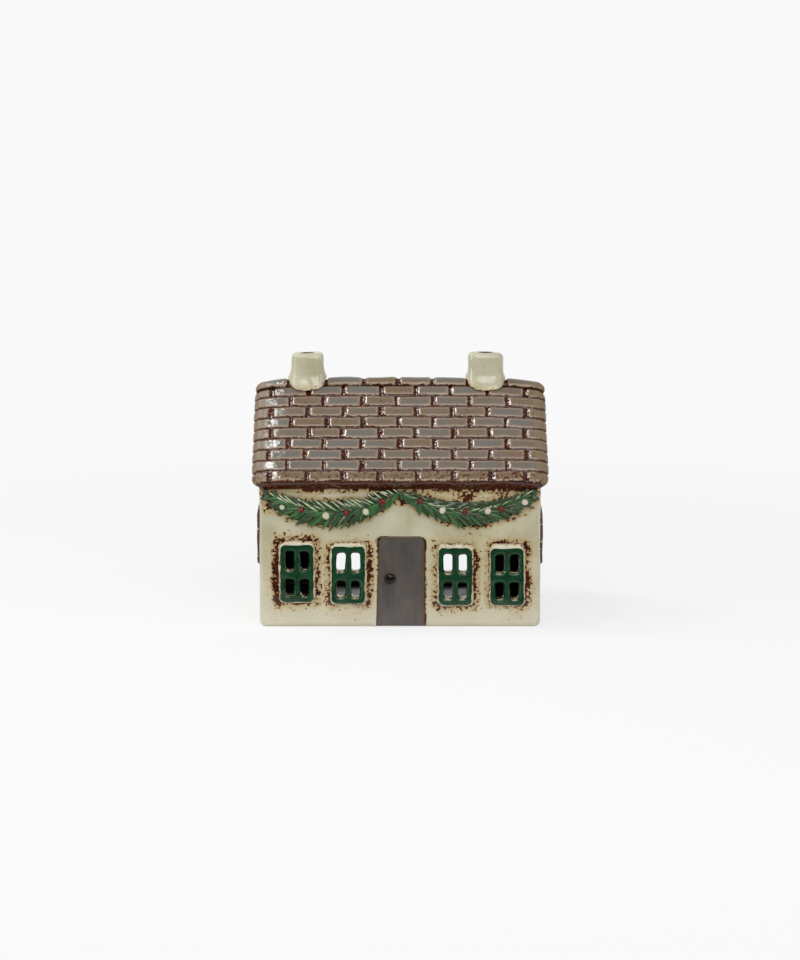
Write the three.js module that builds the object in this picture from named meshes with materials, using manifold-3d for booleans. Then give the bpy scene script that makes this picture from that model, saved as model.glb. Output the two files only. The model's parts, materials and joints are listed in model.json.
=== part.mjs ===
// House tea light holder: a glazed pottery cottage with a tiled roof, two chimneys, four
// pierced front windows, a door, a garland with berries and an arched opening at the back,
// through which a tea light goes in. It is put together as a potter builds it: slabs of clay
// for the floor, walls and roof, and moulded pieces luted on with slip.
// Millimetres. +X runs along the ridge, +Y from the door to the back and +Z up. The origin
// is on the table, in the middle of the footprint.

import * as THREE from "three";
import { mergeVertices } from "three/addons/utils/BufferGeometryUtils.js";
import Module from "manifold-3d";

// Walls and floor
const WALL_LENGTH = 132; // outside to outside, along the ridge
const WALL_DEPTH = 84; // outside to outside, front to back
const WALL_HEIGHT = 66.4; // outer face of the front and back walls, up to the roof
const WALL_THICK = 5;
const FLOOR_THICK = 5;
const CORNER_RADIUS = 2.5; // the four upright corners
const FOOT_RADIUS = 2; // edge round the base
const LUTE = 0.15; // line of slip between two pieces of clay

// Roof
const ROOF_PITCH = THREE.MathUtils.degToRad(43.2);
const ROOF_THICK = 6.4; // underside to tile faces, square to the slope
const EAVE_OVERHANG = 5; // measured level, out from the wall
const VERGE_OVERHANG = 3; // past each gable
const VERGE_RADIUS = 4; // rounded top edge at the gables
const EAVE_RADIUS = 1.1;
const COURSE_HEIGHT = 6.4; // tile courses up the slope, adjusted to fit a whole number
const TILE_LENGTH = 17.2; // joint to joint along a course
const TILE_JOINT = 2.3; // upright joint between two tile faces
const COURSE_JOINT = 1; // joint between two courses
const TILE_RELIEF = 1.2; // height of a tile face over the joints
const TILE_DRAFT = 0.45; // slope of a tile's sides, so that it leaves the mould
const FIRST_JOINT = -0.9; // x of one joint in the ridge course
const LEAST_TILE = 5; // a cut tile shorter than this is joined to its neighbour

// Ridge cap and chimneys
const RIDGE_THICK = 3;
const CREST_RADIUS = 4;
const CHIMNEYS = {
  left_chimney: { side: -1, inset: 24 }, // from that end of the roof to the flue
  right_chimney: { side: 1, inset: 27.3 },
};
const CHIMNEY_WIDTH = 15.5; // along the ridge, below the shoulder
const CHIMNEY_DEPTH = 11.4;
const CHIMNEY_RISE = 12.2; // over the crest of the ridge
const CHIMNEY_SHOULDER = 2;
const CHIMNEY_FLARE = 1.6; // how far the foot spreads over the tiles
const SHAFT_SQUARENESS = 5; // in plan: 2 is round, and more is squarer
const FOOT_SQUARENESS = 2.6;
const FLUE_BORE = 6; // smoke hole, down through the ridge

// Arched opening in the back wall
const ARCH_WIDTH = 72;
const ARCH_SILL = 9;
const ARCH_SPRING = 30; // height at which the curve starts
const ARCH_RISE = 25;

// Door
const DOOR_X = 0.1;
const DOOR_WIDTH = 23.4;
const DOOR_HEIGHT = 43;
const DOOR_CORNER = 3;
const DOOR_RECESS = 1.8; // depth of the pocket in the front wall
const DOOR_THICK = 1.3;
const KNOB_DIAMETER = 4;
const KNOB_HEIGHT = 22.9;
const KNOB_INSET = 6.8; // from the left edge of the door
const KNOB_PROUD = 2.4;

// Front windows: each is a moulded frame with two by two panes cut through it and the wall
const WINDOWS = {
  window_outer_left: { side: -1, inset: 17.6, sill: 11.45 }, // from that end of the wall
  window_inner_left: { side: -1, inset: 41.7, sill: 10.75 }, // to the mullion
  window_inner_right: { side: 1, inset: 40, sill: 10.05 },
  window_outer_right: { side: 1, inset: 15.7, sill: 9.95 },
};
const PANE_WIDTH = 4.1;
const UPPER_PANE = 8.6;
const LOWER_PANE = 7.6;
const MULLION = 2.8; // upright bar
const TRANSOM = 4.8; // level bar
const FRAME_SIDE = 3.1;
const FRAME_TOP = 4.6;
const FRAME_FOOT = 3.75;
const FRAME_CORNER = 2.5;
const PANE_CORNER = 1.1;
const FRAME_PROUD = 1.9;
const FRAME_EDGE = 1; // rounding of the frame's outer and pane edges

// Gable windows: the same panes, and over them the frame slopes back to the wall
const GABLE_SILL = 23.4;
const GABLE_PROUD = 3;
const HOOD_HEIGHT = 5; // of the frame over the top of a front one

// Garland: two swags of needles with berries on them
const SWAG_BELOW_ROOF = 1.8; // from the top of the wall down to its two ends
const SWAG_DROP = 10.2; // of its middle line, at mid span
const SWAG_WIDTH = 13; // at mid span
const SWAG_TAPER = 0.6; // how full the swag stays towards its ends
const SWAG_GAP = 0.5; // between the two swags, at the door's centre line
const SWAG_MARGIN = 1.2; // from the swag's tip to the corner of the wall
const SWAG_PROUD = 1.5; // of the stem band under the needles
const NEEDLES = 12; // on each side of a swag
const NEEDLE_LENGTH = 9.5;
const NEEDLE_WIDTH = 3.2; // a needle has a sharp midrib and two drawn edges
const NEEDLE_LEAN = THREE.MathUtils.degToRad(38); // from the line of the swag
const BERRY_PROUD = 2.6; // of a berry's centre
// Each berry: how far along its swag from the middle of the house, how far across
// from the swag's centre line (1 is its upper edge), and its diameter
const LEFT_BERRIES = [
  { along: 0.12, across: -0.05, size: 3.2, red: true },
  { along: 0.24, across: -0.35, size: 3.2, red: false },
  { along: 0.38, across: 0, size: 3, red: true },
  { along: 0.53, across: -0.15, size: 3.6, red: false },
  { along: 0.71, across: 0, size: 2.8, red: true },
  { along: 0.85, across: -0.45, size: 2.6, red: false },
];
const RIGHT_BERRIES = [
  { along: 0.14, across: 0.2, size: 3.1, red: true },
  { along: 0.3, across: 0, size: 3.2, red: false },
  { along: 0.465, across: 0.15, size: 3, red: true },
  { along: 0.63, across: 0.1, size: 3.1, red: false },
  { along: 0.73, across: 0.05, size: 3, red: true },
  { along: 0.9, across: -0.3, size: 3.2, red: false },
];

// Sizes that follow from the ones above
const wallEnd = WALL_LENGTH / 2;
const wallFace = WALL_DEPTH / 2;
const innerEnd = wallEnd - WALL_THICK;
const innerFace = wallFace - WALL_THICK;
const roofEnd = wallEnd + VERGE_OVERHANG;
const slope = Math.tan(ROOF_PITCH);
const undersideApex = WALL_HEIGHT + wallFace * slope;
const tileApex = undersideApex + ROOF_THICK / Math.cos(ROOF_PITCH);
const crestCentre = tileApex - CREST_RADIUS / Math.cos(ROOF_PITCH);
const crest = crestCentre + CREST_RADIUS;
const slopeLength = (wallFace + EAVE_OVERHANG) / Math.cos(ROOF_PITCH);
const courses = Math.round(slopeLength / COURSE_HEIGHT);
const courseHeight = slopeLength / courses;
const clear = WALL_LENGTH + WALL_DEPTH + tileApex; // longer than the whole house, for cutters
const frameWidth = 2 * (FRAME_SIDE + PANE_WIDTH) + MULLION;
const frameHeight = FRAME_FOOT + LOWER_PANE + TRANSOM + UPPER_PANE + FRAME_TOP;
const chimneyX = ({ side, inset }) => side * (roofEnd - inset);
const windowX = ({ side, inset }) => side * (wallEnd - inset);

// Glazes
const glaze = (colour, roughness = 0.2) =>
  new THREE.MeshStandardMaterial({ color: colour, roughness, metalness: 0 });
const creamGlaze = glaze("#cdc8b2");
const tileGlaze = glaze("#84776f");
const greenGlaze = glaze("#1f5137");
const leafGlaze = glaze("#2f6b45");
const doorGlaze = glaze("#76706c", 0.3);
const knobGlaze = glaze("#17120f", 0.1);
const redGlaze = glaze("#93201f", 0.1);
const whiteGlaze = glaze("#d9d4c2", 0.1);

const wasm = await Module();
wasm.setup();

// A closed geometry as a solid that can be joined and cut
function solid(geometry) {
  const bare = geometry.clone();
  bare.deleteAttribute("normal");
  bare.deleteAttribute("uv");
  const merged = mergeVertices(bare, 1e-4);
  return new wasm.Manifold(
    new wasm.Mesh({
      numProp: 3,
      vertProperties: merged.attributes.position.array,
      triVerts: new Uint32Array(merged.index.array),
    }),
  );
}

const join = (solids) => solids.reduce((whole, next) => whole.add(next));

// A named piece of the house
function piece(name, body, material) {
  const data = body.getMesh();
  const geometry = new THREE.BufferGeometry();
  geometry.setAttribute("position", new THREE.BufferAttribute(data.vertProperties, 3));
  geometry.setIndex(new THREE.BufferAttribute(data.triVerts, 1));
  geometry.computeVertexNormals();
  const mesh = new THREE.Mesh(geometry, material);
  mesh.name = name;
  return mesh;
}

// A block between two corners
function block(low, high) {
  const size = high.map((value, i) => value - low[i]);
  const centre = high.map((value, i) => (value + low[i]) / 2);
  return solid(new THREE.BoxGeometry(...size).translate(...centre));
}

function roundedRectangle(width, height, radius) {
  const x = width / 2;
  const y = height / 2;
  const shape = new THREE.Shape();
  shape.absarc(x - radius, y - radius, radius, 0, Math.PI / 2);
  shape.absarc(radius - x, y - radius, radius, Math.PI / 2, Math.PI);
  shape.absarc(radius - x, radius - y, radius, Math.PI, 1.5 * Math.PI);
  shape.absarc(x - radius, radius - y, radius, 1.5 * Math.PI, 2 * Math.PI);
  shape.closePath();
  return shape;
}

function extruded(shape, depth, { bevel = 0, size = bevel, steps = 1, curves = 2 } = {}) {
  return new THREE.ExtrudeGeometry(shape, {
    depth,
    curveSegments: curves,
    bevelEnabled: bevel > 0,
    bevelThickness: bevel,
    bevelSize: size,
    bevelOffset: -size,
    bevelSegments: steps,
  });
}

// A shape drawn across the house (y, z), drawn out along x between two places
const acrossToWorld = new THREE.Matrix4().makeBasis(
  new THREE.Vector3(0, 1, 0),
  new THREE.Vector3(0, 0, 1),
  new THREE.Vector3(1, 0, 0),
);
function drawnAlong(shape, from, to, options = {}) {
  const bevel = options.bevel || 0;
  const geometry = extruded(shape, to - from - 2 * bevel, options);
  return solid(geometry.translate(0, 0, from + bevel).applyMatrix4(acrossToWorld));
}

// A shape drawn on the front (x, z), drawn out forwards from y = back to y = front
function drawnForward(shape, back, front, options = {}) {
  const geometry = extruded(shape, back - front, options);
  return solid(geometry.rotateX(Math.PI / 2).translate(0, back, 0));
}

// Roof: a point at a distance down the front slope and a height over its underside
function onSlope(down, up) {
  const y = -down * Math.cos(ROOF_PITCH) - up * Math.sin(ROOF_PITCH);
  const z = undersideApex - down * Math.sin(ROOF_PITCH) + up * Math.cos(ROOF_PITCH);
  return new THREE.Vector2(y, z);
}
const ridgeLine = (up) => -up * slope; // where the slope at that height meets the ridge
const courseLine = (course) => ridgeLine(ROOF_THICK) + course * courseHeight;
const eaveLine = courseLine(courses);

// The line over both slopes at a height over the underside, with the crest rounded if it
// is near the tile faces, from one distance down the front to the same down the back
function overRidge(shape, up, down) {
  const start = onSlope(down, up);
  const radius = CREST_RADIUS + up - ROOF_THICK;
  shape.moveTo(start.x, start.y);
  if (radius > 0) {
    const half = Math.PI / 2;
    shape.lineTo(-radius * Math.sin(ROOF_PITCH), crestCentre + radius * Math.cos(ROOF_PITCH));
    shape.absarc(0, crestCentre, radius, half + ROOF_PITCH, half - ROOF_PITCH, true);
  } else {
    const ridge = onSlope(ridgeLine(up), up);
    shape.lineTo(0, ridge.y);
  }
  shape.lineTo(-start.x, start.y);
}

// Everything over the roof surface that lies at that height, as one cutter
function overRoof(up) {
  const shape = new THREE.Shape();
  overRidge(shape, up, clear);
  shape.lineTo(clear, clear);
  shape.lineTo(-clear, clear);
  shape.closePath();
  return drawnAlong(shape, -clear, clear);
}

// The band over the ridge between two heights, reaching one distance down both slopes
function ridgeBand(low, high, down) {
  const shape = new THREE.Shape();
  overRidge(shape, high, down);
  const foot = onSlope(down, low);
  const ridge = onSlope(ridgeLine(low), low);
  shape.lineTo(-foot.x, foot.y);
  shape.lineTo(0, ridge.y);
  shape.lineTo(foot.x, foot.y);
  shape.closePath();
  return shape;
}

const flues = join(
  Object.values(CHIMNEYS).map((stack) => {
    const bore = new THREE.CylinderGeometry(FLUE_BORE / 2, FLUE_BORE / 2, clear, 20);
    return solid(bore.rotateX(Math.PI / 2).translate(chimneyX(stack), 0, tileApex));
  }),
);

// Section across one slope: rounded on top at both verges, cut back underneath to the gable
function slopeSection(inset, top) {
  const end = roofEnd - inset;
  const radius = VERGE_RADIUS - inset;
  const under = end - VERGE_OVERHANG;
  const shape = new THREE.Shape();
  shape.moveTo(-under, 0);
  shape.lineTo(under, 0);
  shape.absarc(end - radius, top - radius, radius, 0, Math.PI / 2);
  shape.absarc(radius - end, top - radius, radius, Math.PI / 2, Math.PI);
  shape.closePath();
  return shape;
}

// Turns a solid built on the front slope (x, up, down) into place on the front or the back
function slopeToWorld(side) {
  const axes = new THREE.Matrix4().makeBasis(
    new THREE.Vector3(1, 0, 0),
    new THREE.Vector3(0, -Math.sin(ROOF_PITCH), Math.cos(ROOF_PITCH)),
    new THREE.Vector3(0, -Math.cos(ROOF_PITCH), -Math.sin(ROOF_PITCH)),
  );
  const lift = new THREE.Matrix4().makeTranslation(0, 0, undersideApex);
  const turn = new THREE.Matrix4().makeRotationZ(side < 0 ? 0 : Math.PI);
  return turn.multiply(lift).multiply(axes);
}

// A plain slope, from above the ridge down to the rounded eave
function slopeBody(inset, top, side) {
  const start = ridgeLine(ROOF_THICK) - EAVE_RADIUS;
  const round = inset > 0 ? EAVE_RADIUS / 3 : EAVE_RADIUS;
  const section = slopeSection(inset, top);
  const geometry = extruded(section, eaveLine - start - 2 * round, { bevel: round, curves: 2 });
  return solid(geometry.translate(0, 0, start + round).applyMatrix4(slopeToWorld(side)));
}

// The joints of one course, at every second course half a tile along
function jointsOf(course) {
  const shift = FIRST_JOINT + (course % 2 ? 0 : TILE_LENGTH / 2);
  const first = Math.ceil((LEAST_TILE - roofEnd - shift) / TILE_LENGTH);
  const last = Math.floor((roofEnd - LEAST_TILE - shift) / TILE_LENGTH);
  const count = last - first + 1;
  return Array.from({ length: count }, (_, i) => shift + (first + i) * TILE_LENGTH);
}

// The tiles of one course as pairs of x; the end ones run past the verge, to be cut there
function tilesOf(course) {
  const joints = jointsOf(course);
  const past = roofEnd + TILE_JOINT;
  const starts = [-past, ...joints.map((x) => x + TILE_JOINT / 2)];
  const ends = [...joints.map((x) => x - TILE_JOINT / 2), past];
  return starts.map((start, i) => [start, ends[i]]);
}

function tile([start, end], course, side) {
  const x = (end - start) / 2 + TILE_DRAFT;
  const y = (courseHeight - COURSE_JOINT) / 2 + TILE_DRAFT;
  const corners = [[-x, -y], [x, -y], [x, y], [-x, y]];
  const shape = new THREE.Shape(corners.map((corner) => new THREE.Vector2(...corner)));
  const root = TILE_RELIEF / 4; // how deep the tile is rooted in the slab
  const geometry = extruded(shape, root, { bevel: TILE_RELIEF + root, size: TILE_DRAFT });
  geometry.rotateX(-Math.PI / 2);
  geometry.translate((start + end) / 2, 0, courseLine(course - 0.5));
  geometry.translate(0, ROOF_THICK - TILE_RELIEF - 2 * root, 0);
  return solid(geometry.applyMatrix4(slopeToWorld(side)));
}

// One slope of the roof: a slab with every course below the ridge cap in relief
function roofSlab(name, side) {
  const tiles = [];
  for (let course = 2; course <= courses; course++)
    tiles.push(...tilesOf(course).map((span) => tile(span, course, side)));
  const skin = slopeBody(0, ROOF_THICK + LUTE, side).intersect(join(tiles));
  const rebate = drawnAlong(
    ridgeBand(ROOF_THICK - RIDGE_THICK - LUTE, ROOF_THICK + CREST_RADIUS, courseLine(1)),
    -clear,
    clear,
  );
  const half = block(
    [-clear, side < 0 ? -clear : LUTE / 2, -clear],
    [clear, side < 0 ? -LUTE / 2 : clear, clear],
  );
  const slab = slopeBody(TILE_RELIEF, ROOF_THICK - TILE_RELIEF, side).add(skin);
  return piece(name, slab.intersect(half).subtract(rebate).subtract(flues), tileGlaze);
}

// The ridge cap: saddle tiles over the top course of both slopes
function ridgeCap() {
  const foot = courseLine(1) - COURSE_JOINT / 2;
  const envelope = slopeBody(0, ROOF_THICK + LUTE, -1).add(slopeBody(0, ROOF_THICK + LUTE, 1));
  const core = ridgeBand(ROOF_THICK - RIDGE_THICK, ROOF_THICK - TILE_RELIEF, foot);
  const band = ridgeBand(ROOF_THICK - 2 * TILE_RELIEF, ROOF_THICK, foot);
  const saddles = tilesOf(1).map(([start, end]) =>
    drawnAlong(band, start - TILE_DRAFT, end + TILE_DRAFT, {
      bevel: 2 * TILE_DRAFT,
      size: TILE_DRAFT,
    }),
  );
  const inner = roofEnd - TILE_RELIEF;
  const cap = drawnAlong(core, -inner, inner).add(join(saddles));
  return piece("ridge_cap", cap.intersect(envelope).subtract(flues), tileGlaze);
}

// A chimney: a soft square shaft with a rounded shoulder and a foot spread over the ridge.
// Its profile is turned round the flue, then squared and laid on the roof. Heights in the
// profile are parts of the way down from the top (0) to the roof (-1).
function chimney(name, x) {
  const half = CHIMNEY_WIDTH / 2;
  const bore = FLUE_BORE / 2;
  const rim = 0.5; // rounding of the smoke hole's edge
  const below = 1.4; // how far the blank reaches, to be cut off at the roof
  const profile = [new THREE.Vector2(bore, -below)];
  profile.push(new THREE.Vector2(bore, -rim / CHIMNEY_RISE));
  profile.push(new THREE.Vector2(bore + rim, 0));
  for (const turn of [0, 0.25, 0.5, 0.75, 1].map((part) => (part * Math.PI) / 2)) {
    const out = half - CHIMNEY_SHOULDER * (1 - Math.sin(turn));
    profile.push(new THREE.Vector2(out, (-CHIMNEY_SHOULDER * (1 - Math.cos(turn))) / CHIMNEY_RISE));
  }
  for (const drop of [0.5, 0.68, 0.82, 0.92, 1])
    profile.push(new THREE.Vector2(half + CHIMNEY_FLARE * drop ** 6, -drop));
  profile.push(new THREE.Vector2(half + CHIMNEY_FLARE, -below));
  profile.push(profile[0].clone());
  const geometry = new THREE.LatheGeometry(profile.reverse(), 20).rotateX(Math.PI / 2);
  const position = geometry.attributes.position;
  const top = crest + CHIMNEY_RISE;
  for (let i = 0; i < position.count; i++) {
    const radius = Math.hypot(position.getX(i), position.getY(i));
    const cos = position.getX(i) / radius;
    const sin = position.getY(i) / radius;
    const shaft = radius > bore + 2 * rim;
    const drop = Math.min(-position.getZ(i), 1);
    const squareness = SHAFT_SQUARENESS + (FOOT_SQUARENESS - SHAFT_SQUARENESS) * drop ** 3;
    const square = (Math.abs(cos) ** squareness + Math.abs(sin) ** squareness) ** (-1 / squareness);
    const out = shaft ? square : 1;
    const depth = shaft ? radius - (CHIMNEY_WIDTH - CHIMNEY_DEPTH) / 2 : radius;
    const y = depth * out * sin;
    const roof = Math.min(crest, tileApex - Math.abs(y) * slope);
    position.setXYZ(i, x + radius * out * cos, y, top + position.getZ(i) * (top - roof));
  }
  const seat = block([-clear, -clear, -clear], [clear, clear, clear]).subtract(
    overRoof(ROOF_THICK + LUTE),
  );
  return piece(name, solid(geometry).subtract(seat), creamGlaze);
}

// The outside of the walls, with rounded corners and foot, cut off under the roof
function houseBody() {
  const plan = roundedRectangle(WALL_LENGTH, WALL_DEPTH, CORNER_RADIUS);
  const geometry = extruded(plan, clear, { bevel: FOOT_RADIUS, steps: 2 });
  const shape = new THREE.Shape();
  const apex = undersideApex - LUTE / Math.cos(ROOF_PITCH);
  shape.moveTo(-clear, apex - clear * slope);
  shape.lineTo(clear, apex - clear * slope);
  shape.lineTo(0, apex);
  shape.closePath();
  return solid(geometry.translate(0, 0, FOOT_RADIUS)).intersect(drawnAlong(shape, -clear, clear));
}

// The panes of one window, as rounded rectangles about its centre line and over its sill
function panes(ease = 0) {
  const across = (MULLION + PANE_WIDTH) / 2;
  const lower = FRAME_FOOT + LOWER_PANE / 2;
  const upper = FRAME_FOOT + LOWER_PANE + TRANSOM + UPPER_PANE / 2;
  const pane = (x, y, height) => {
    const shape = roundedRectangle(PANE_WIDTH + ease, height + ease, PANE_CORNER);
    const points = shape.getPoints(1).map((point) => point.add(new THREE.Vector2(x, y)));
    return new THREE.Path(points);
  };
  return [-across, across].flatMap((x) => [
    pane(x, lower, LOWER_PANE),
    pane(x, upper, UPPER_PANE),
  ]);
}

// A window frame standing on its sill at the origin, drawn on the front and facing -y
function windowFrame(proud, height = frameHeight) {
  const shape = roundedRectangle(frameWidth, height, FRAME_CORNER);
  const points = shape.getPoints(2).map((point) => point.add(new THREE.Vector2(0, height / 2)));
  const outline = new THREE.Shape(points);
  outline.holes = panes();
  const frame = drawnForward(outline, proud, FRAME_EDGE - proud, { bevel: FRAME_EDGE });
  return frame.intersect(block([-clear, -clear, -clear], [clear, -LUTE, clear]));
}

// The same panes as a cutter through a wall
function paneCutters() {
  const ease = 2 * LUTE; // the frame laps the hole in the wall by this much
  const holes = panes(ease).map((path) => new THREE.Shape(path.getPoints()));
  return join(holes.map((shape) => drawnForward(shape, 2 * WALL_THICK, -WALL_THICK)));
}

// The arched opening, as a shape on the wall
function archShape() {
  const half = ARCH_WIDTH / 2;
  const corner = 4;
  const shape = new THREE.Shape();
  shape.absarc(corner - half, ARCH_SILL + corner, corner, Math.PI, 1.5 * Math.PI);
  shape.absarc(half - corner, ARCH_SILL + corner, corner, 1.5 * Math.PI, 2 * Math.PI);
  shape.lineTo(half, ARCH_SPRING);
  shape.absellipse(0, ARCH_SPRING, half, ARCH_RISE, 0, Math.PI);
  shape.closePath();
  return shape;
}

// The door, as a shape on the wall: square at the foot, rounded at the top
function doorShape(grow = 0) {
  const half = DOOR_WIDTH / 2 + grow;
  const top = DOOR_HEIGHT + grow;
  const shape = new THREE.Shape();
  shape.moveTo(DOOR_X - half, -clear);
  shape.lineTo(DOOR_X + half, -clear);
  shape.absarc(DOOR_X + half - DOOR_CORNER, top - DOOR_CORNER, DOOR_CORNER, 0, Math.PI / 2);
  shape.absarc(DOOR_X + DOOR_CORNER - half, top - DOOR_CORNER, DOOR_CORNER, Math.PI / 2, Math.PI);
  shape.closePath();
  return shape;
}

function floorSlab() {
  const length = innerEnd - LUTE;
  const depth = innerFace - LUTE;
  const slab = block([-length, -depth, 0], [length, depth, FLOOR_THICK]);
  return piece("floor_slab", slab, creamGlaze);
}

function frontWall() {
  const pocket = drawnForward(doorShape(LUTE), DOOR_RECESS - wallFace, -clear, { curves: 5 });
  const holes = Object.values(WINDOWS).map((window) =>
    paneCutters().translate([windowX(window), -wallFace, window.sill]),
  );
  const wall = houseBody()
    .intersect(block([-clear, -clear, -clear], [clear, -innerFace, clear]))
    .subtract(pocket)
    .subtract(join(holes));
  return piece("front_wall", wall, creamGlaze);
}

function backWall() {
  const arch = drawnForward(archShape(), clear, 0, { curves: 9 });
  const wall = houseBody()
    .intersect(block([-clear, innerFace, -clear], [clear, clear, clear]))
    .subtract(arch);
  return piece("back_wall", wall, creamGlaze);
}

// Puts what is drawn on the front on the outside of a gable: side -1 is the left one
const toGable = (body, side) =>
  body.rotate([0, 0, side < 0 ? -90 : 90]).translate([side * wallEnd, 0, GABLE_SILL]);

function gableWall(name, side) {
  const depth = innerFace - LUTE;
  const low = [side < 0 ? -clear : innerEnd, -depth, -clear];
  const high = [side < 0 ? -innerEnd : clear, depth, clear];
  const wall = houseBody().intersect(block(low, high)).subtract(toGable(paneCutters(), side));
  return piece(name, wall, creamGlaze);
}

function gableWindow(name, side) {
  const height = frameHeight + HOOD_HEIGHT;
  const profile = new THREE.Shape();
  profile.moveTo(0, 0);
  profile.lineTo(0, height);
  profile.lineTo(-LUTE - FRAME_EDGE, height);
  profile.lineTo(-GABLE_PROUD, frameHeight - FRAME_TOP);
  profile.lineTo(-GABLE_PROUD, 0);
  profile.closePath();
  const frame = windowFrame(GABLE_PROUD, height).intersect(drawnAlong(profile, -clear, clear));
  return piece(name, toGable(frame, side), greenGlaze);
}

function doorPanel() {
  const back = DOOR_RECESS - LUTE - wallFace;
  const panel = drawnForward(doorShape(), back, back - DOOR_THICK, { curves: 5 });
  return piece("door_panel", houseBody().intersect(panel), doorGlaze);
}

function doorKnob() {
  const radius = KNOB_DIAMETER / 2;
  const neck = radius * 0.6;
  const profile = [new THREE.Vector2(0, 0), new THREE.Vector2(neck, 0)];
  for (const turn of [-0.33, 0, 0.33, 0.67, 1].map((part) => (part * Math.PI) / 2)) {
    const out = turn < Math.PI / 2 ? radius * Math.cos(turn) : 0;
    profile.push(new THREE.Vector2(out, (KNOB_PROUD / 2) * (1 + Math.sin(turn))));
  }
  const geometry = new THREE.LatheGeometry(profile, 12).rotateX(Math.PI);
  const face = DOOR_RECESS - LUTE - wallFace - DOOR_THICK;
  const x = DOOR_X - DOOR_WIDTH / 2 + KNOB_INSET;
  return piece("door_knob", solid(geometry.translate(x, face - LUTE, KNOB_HEIGHT)), knobGlaze);
}

// Garland: the middle line and half width of a swag, along it from 0 at the middle of the
// house to 1 at its tip
const swagReach = wallEnd - SWAG_MARGIN - SWAG_GAP;
const swagX = (along) => SWAG_GAP + along * swagReach;
const swagTop = WALL_HEIGHT - SWAG_BELOW_ROOF;
const swagZ = (along) => swagTop - SWAG_DROP * 4 * along * (1 - along);
const swagHalf = (along) => (SWAG_WIDTH / 2) * Math.sin(Math.PI * along) ** SWAG_TAPER;

// One needle of the garland: a slim spindle from its root, leaning out towards the tip
function needle(along, side) {
  const half = NEEDLE_WIDTH / 2;
  const length = NEEDLE_LENGTH * (0.35 + (0.65 * swagHalf(along)) / (SWAG_WIDTH / 2));
  const profile = [[0, 0], [0.9, 0.3], [0.75, 0.7], [0, 1]].map(
    ([out, up]) => new THREE.Vector2(out * half, up * length),
  );
  const fall = Math.atan2(swagZ(along + 0.01) - swagZ(along), 0.01 * swagReach);
  const geometry = new THREE.LatheGeometry(profile, 4).scale(1, 1, 0.75);
  geometry.rotateZ(fall + side * NEEDLE_LEAN - Math.PI / 2);
  geometry.translate(swagX(along), swagZ(along), 0);
  return solid(geometry.rotateX(Math.PI / 2).translate(0, -SWAG_PROUD, 0));
}

function swag(name, side, berries) {
  const steps = Array.from({ length: 15 }, (_, i) => i / 14);
  const edge = (sign) =>
    steps.map((t) => new THREE.Vector2(swagX(t), swagZ(t) + 0.8 * sign * swagHalf(t)));
  const shape = new THREE.Shape([...edge(-1), ...edge(1).slice(1, -1).reverse()]);
  const band = drawnForward(shape, 0, -SWAG_PROUD, { curves: 1 });
  const needles = [];
  for (let i = 0; i < NEEDLES; i++)
    for (const lean of [-1, 1]) {
      const along = (i + 0.35 + 0.15 * lean) / NEEDLES;
      needles.push(needle(along, lean));
    }
  const eave = onSlope(eaveLine, 0).y - LUTE;
  const room = block([SWAG_GAP / 2, -clear, 0], [wallEnd - SWAG_MARGIN / 2, -LUTE, eave]);
  let body = band.add(join(needles)).intersect(room);
  if (side < 0) body = body.mirror([1, 0, 0]);
  body = body.translate([0, -wallFace, 0]);
  for (const berry of berries) body = body.subtract(berryBody(berry, side, LUTE));
  return piece(name, body, leafGlaze);
}

function berryBody({ along, across, size }, side, grow = 0) {
  const geometry = new THREE.SphereGeometry(size / 2 + grow, 8, 6).rotateX(Math.PI / 2);
  const z = swagZ(along) + across * swagHalf(along);
  return solid(geometry.translate(side * swagX(along), -wallFace - BERRY_PROUD, z));
}

const house = new THREE.Group();
house.add(floorSlab(), frontWall(), backWall());
house.add(gableWall("left_gable_wall", -1), gableWall("right_gable_wall", 1));
house.add(roofSlab("front_roof_slab", -1), roofSlab("back_roof_slab", 1), ridgeCap());
for (const [name, stack] of Object.entries(CHIMNEYS)) house.add(chimney(name, chimneyX(stack)));
house.add(doorPanel(), doorKnob());
for (const [name, window] of Object.entries(WINDOWS)) {
  const place = [windowX(window), -wallFace, window.sill];
  const frame = windowFrame(FRAME_PROUD).translate(place);
  house.add(piece(name, frame, greenGlaze));
}
house.add(gableWindow("left_gable_window", -1), gableWindow("right_gable_window", 1));
for (const [word, side, berries] of [["left", -1, LEFT_BERRIES], ["right", 1, RIGHT_BERRIES]]) {
  house.add(swag("garland_" + word, side, berries));
  berries.forEach((berry, i) => {
    const material = berry.red ? redGlaze : whiteGlaze;
    house.add(piece(`berry_${word}_${i + 1}`, berryBody(berry, side), material));
  });
}

export default house;
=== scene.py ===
import json
import math

import bmesh
import bpy
import numpy as np
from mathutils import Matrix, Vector
from mathutils.bvhtree import BVHTree


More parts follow.
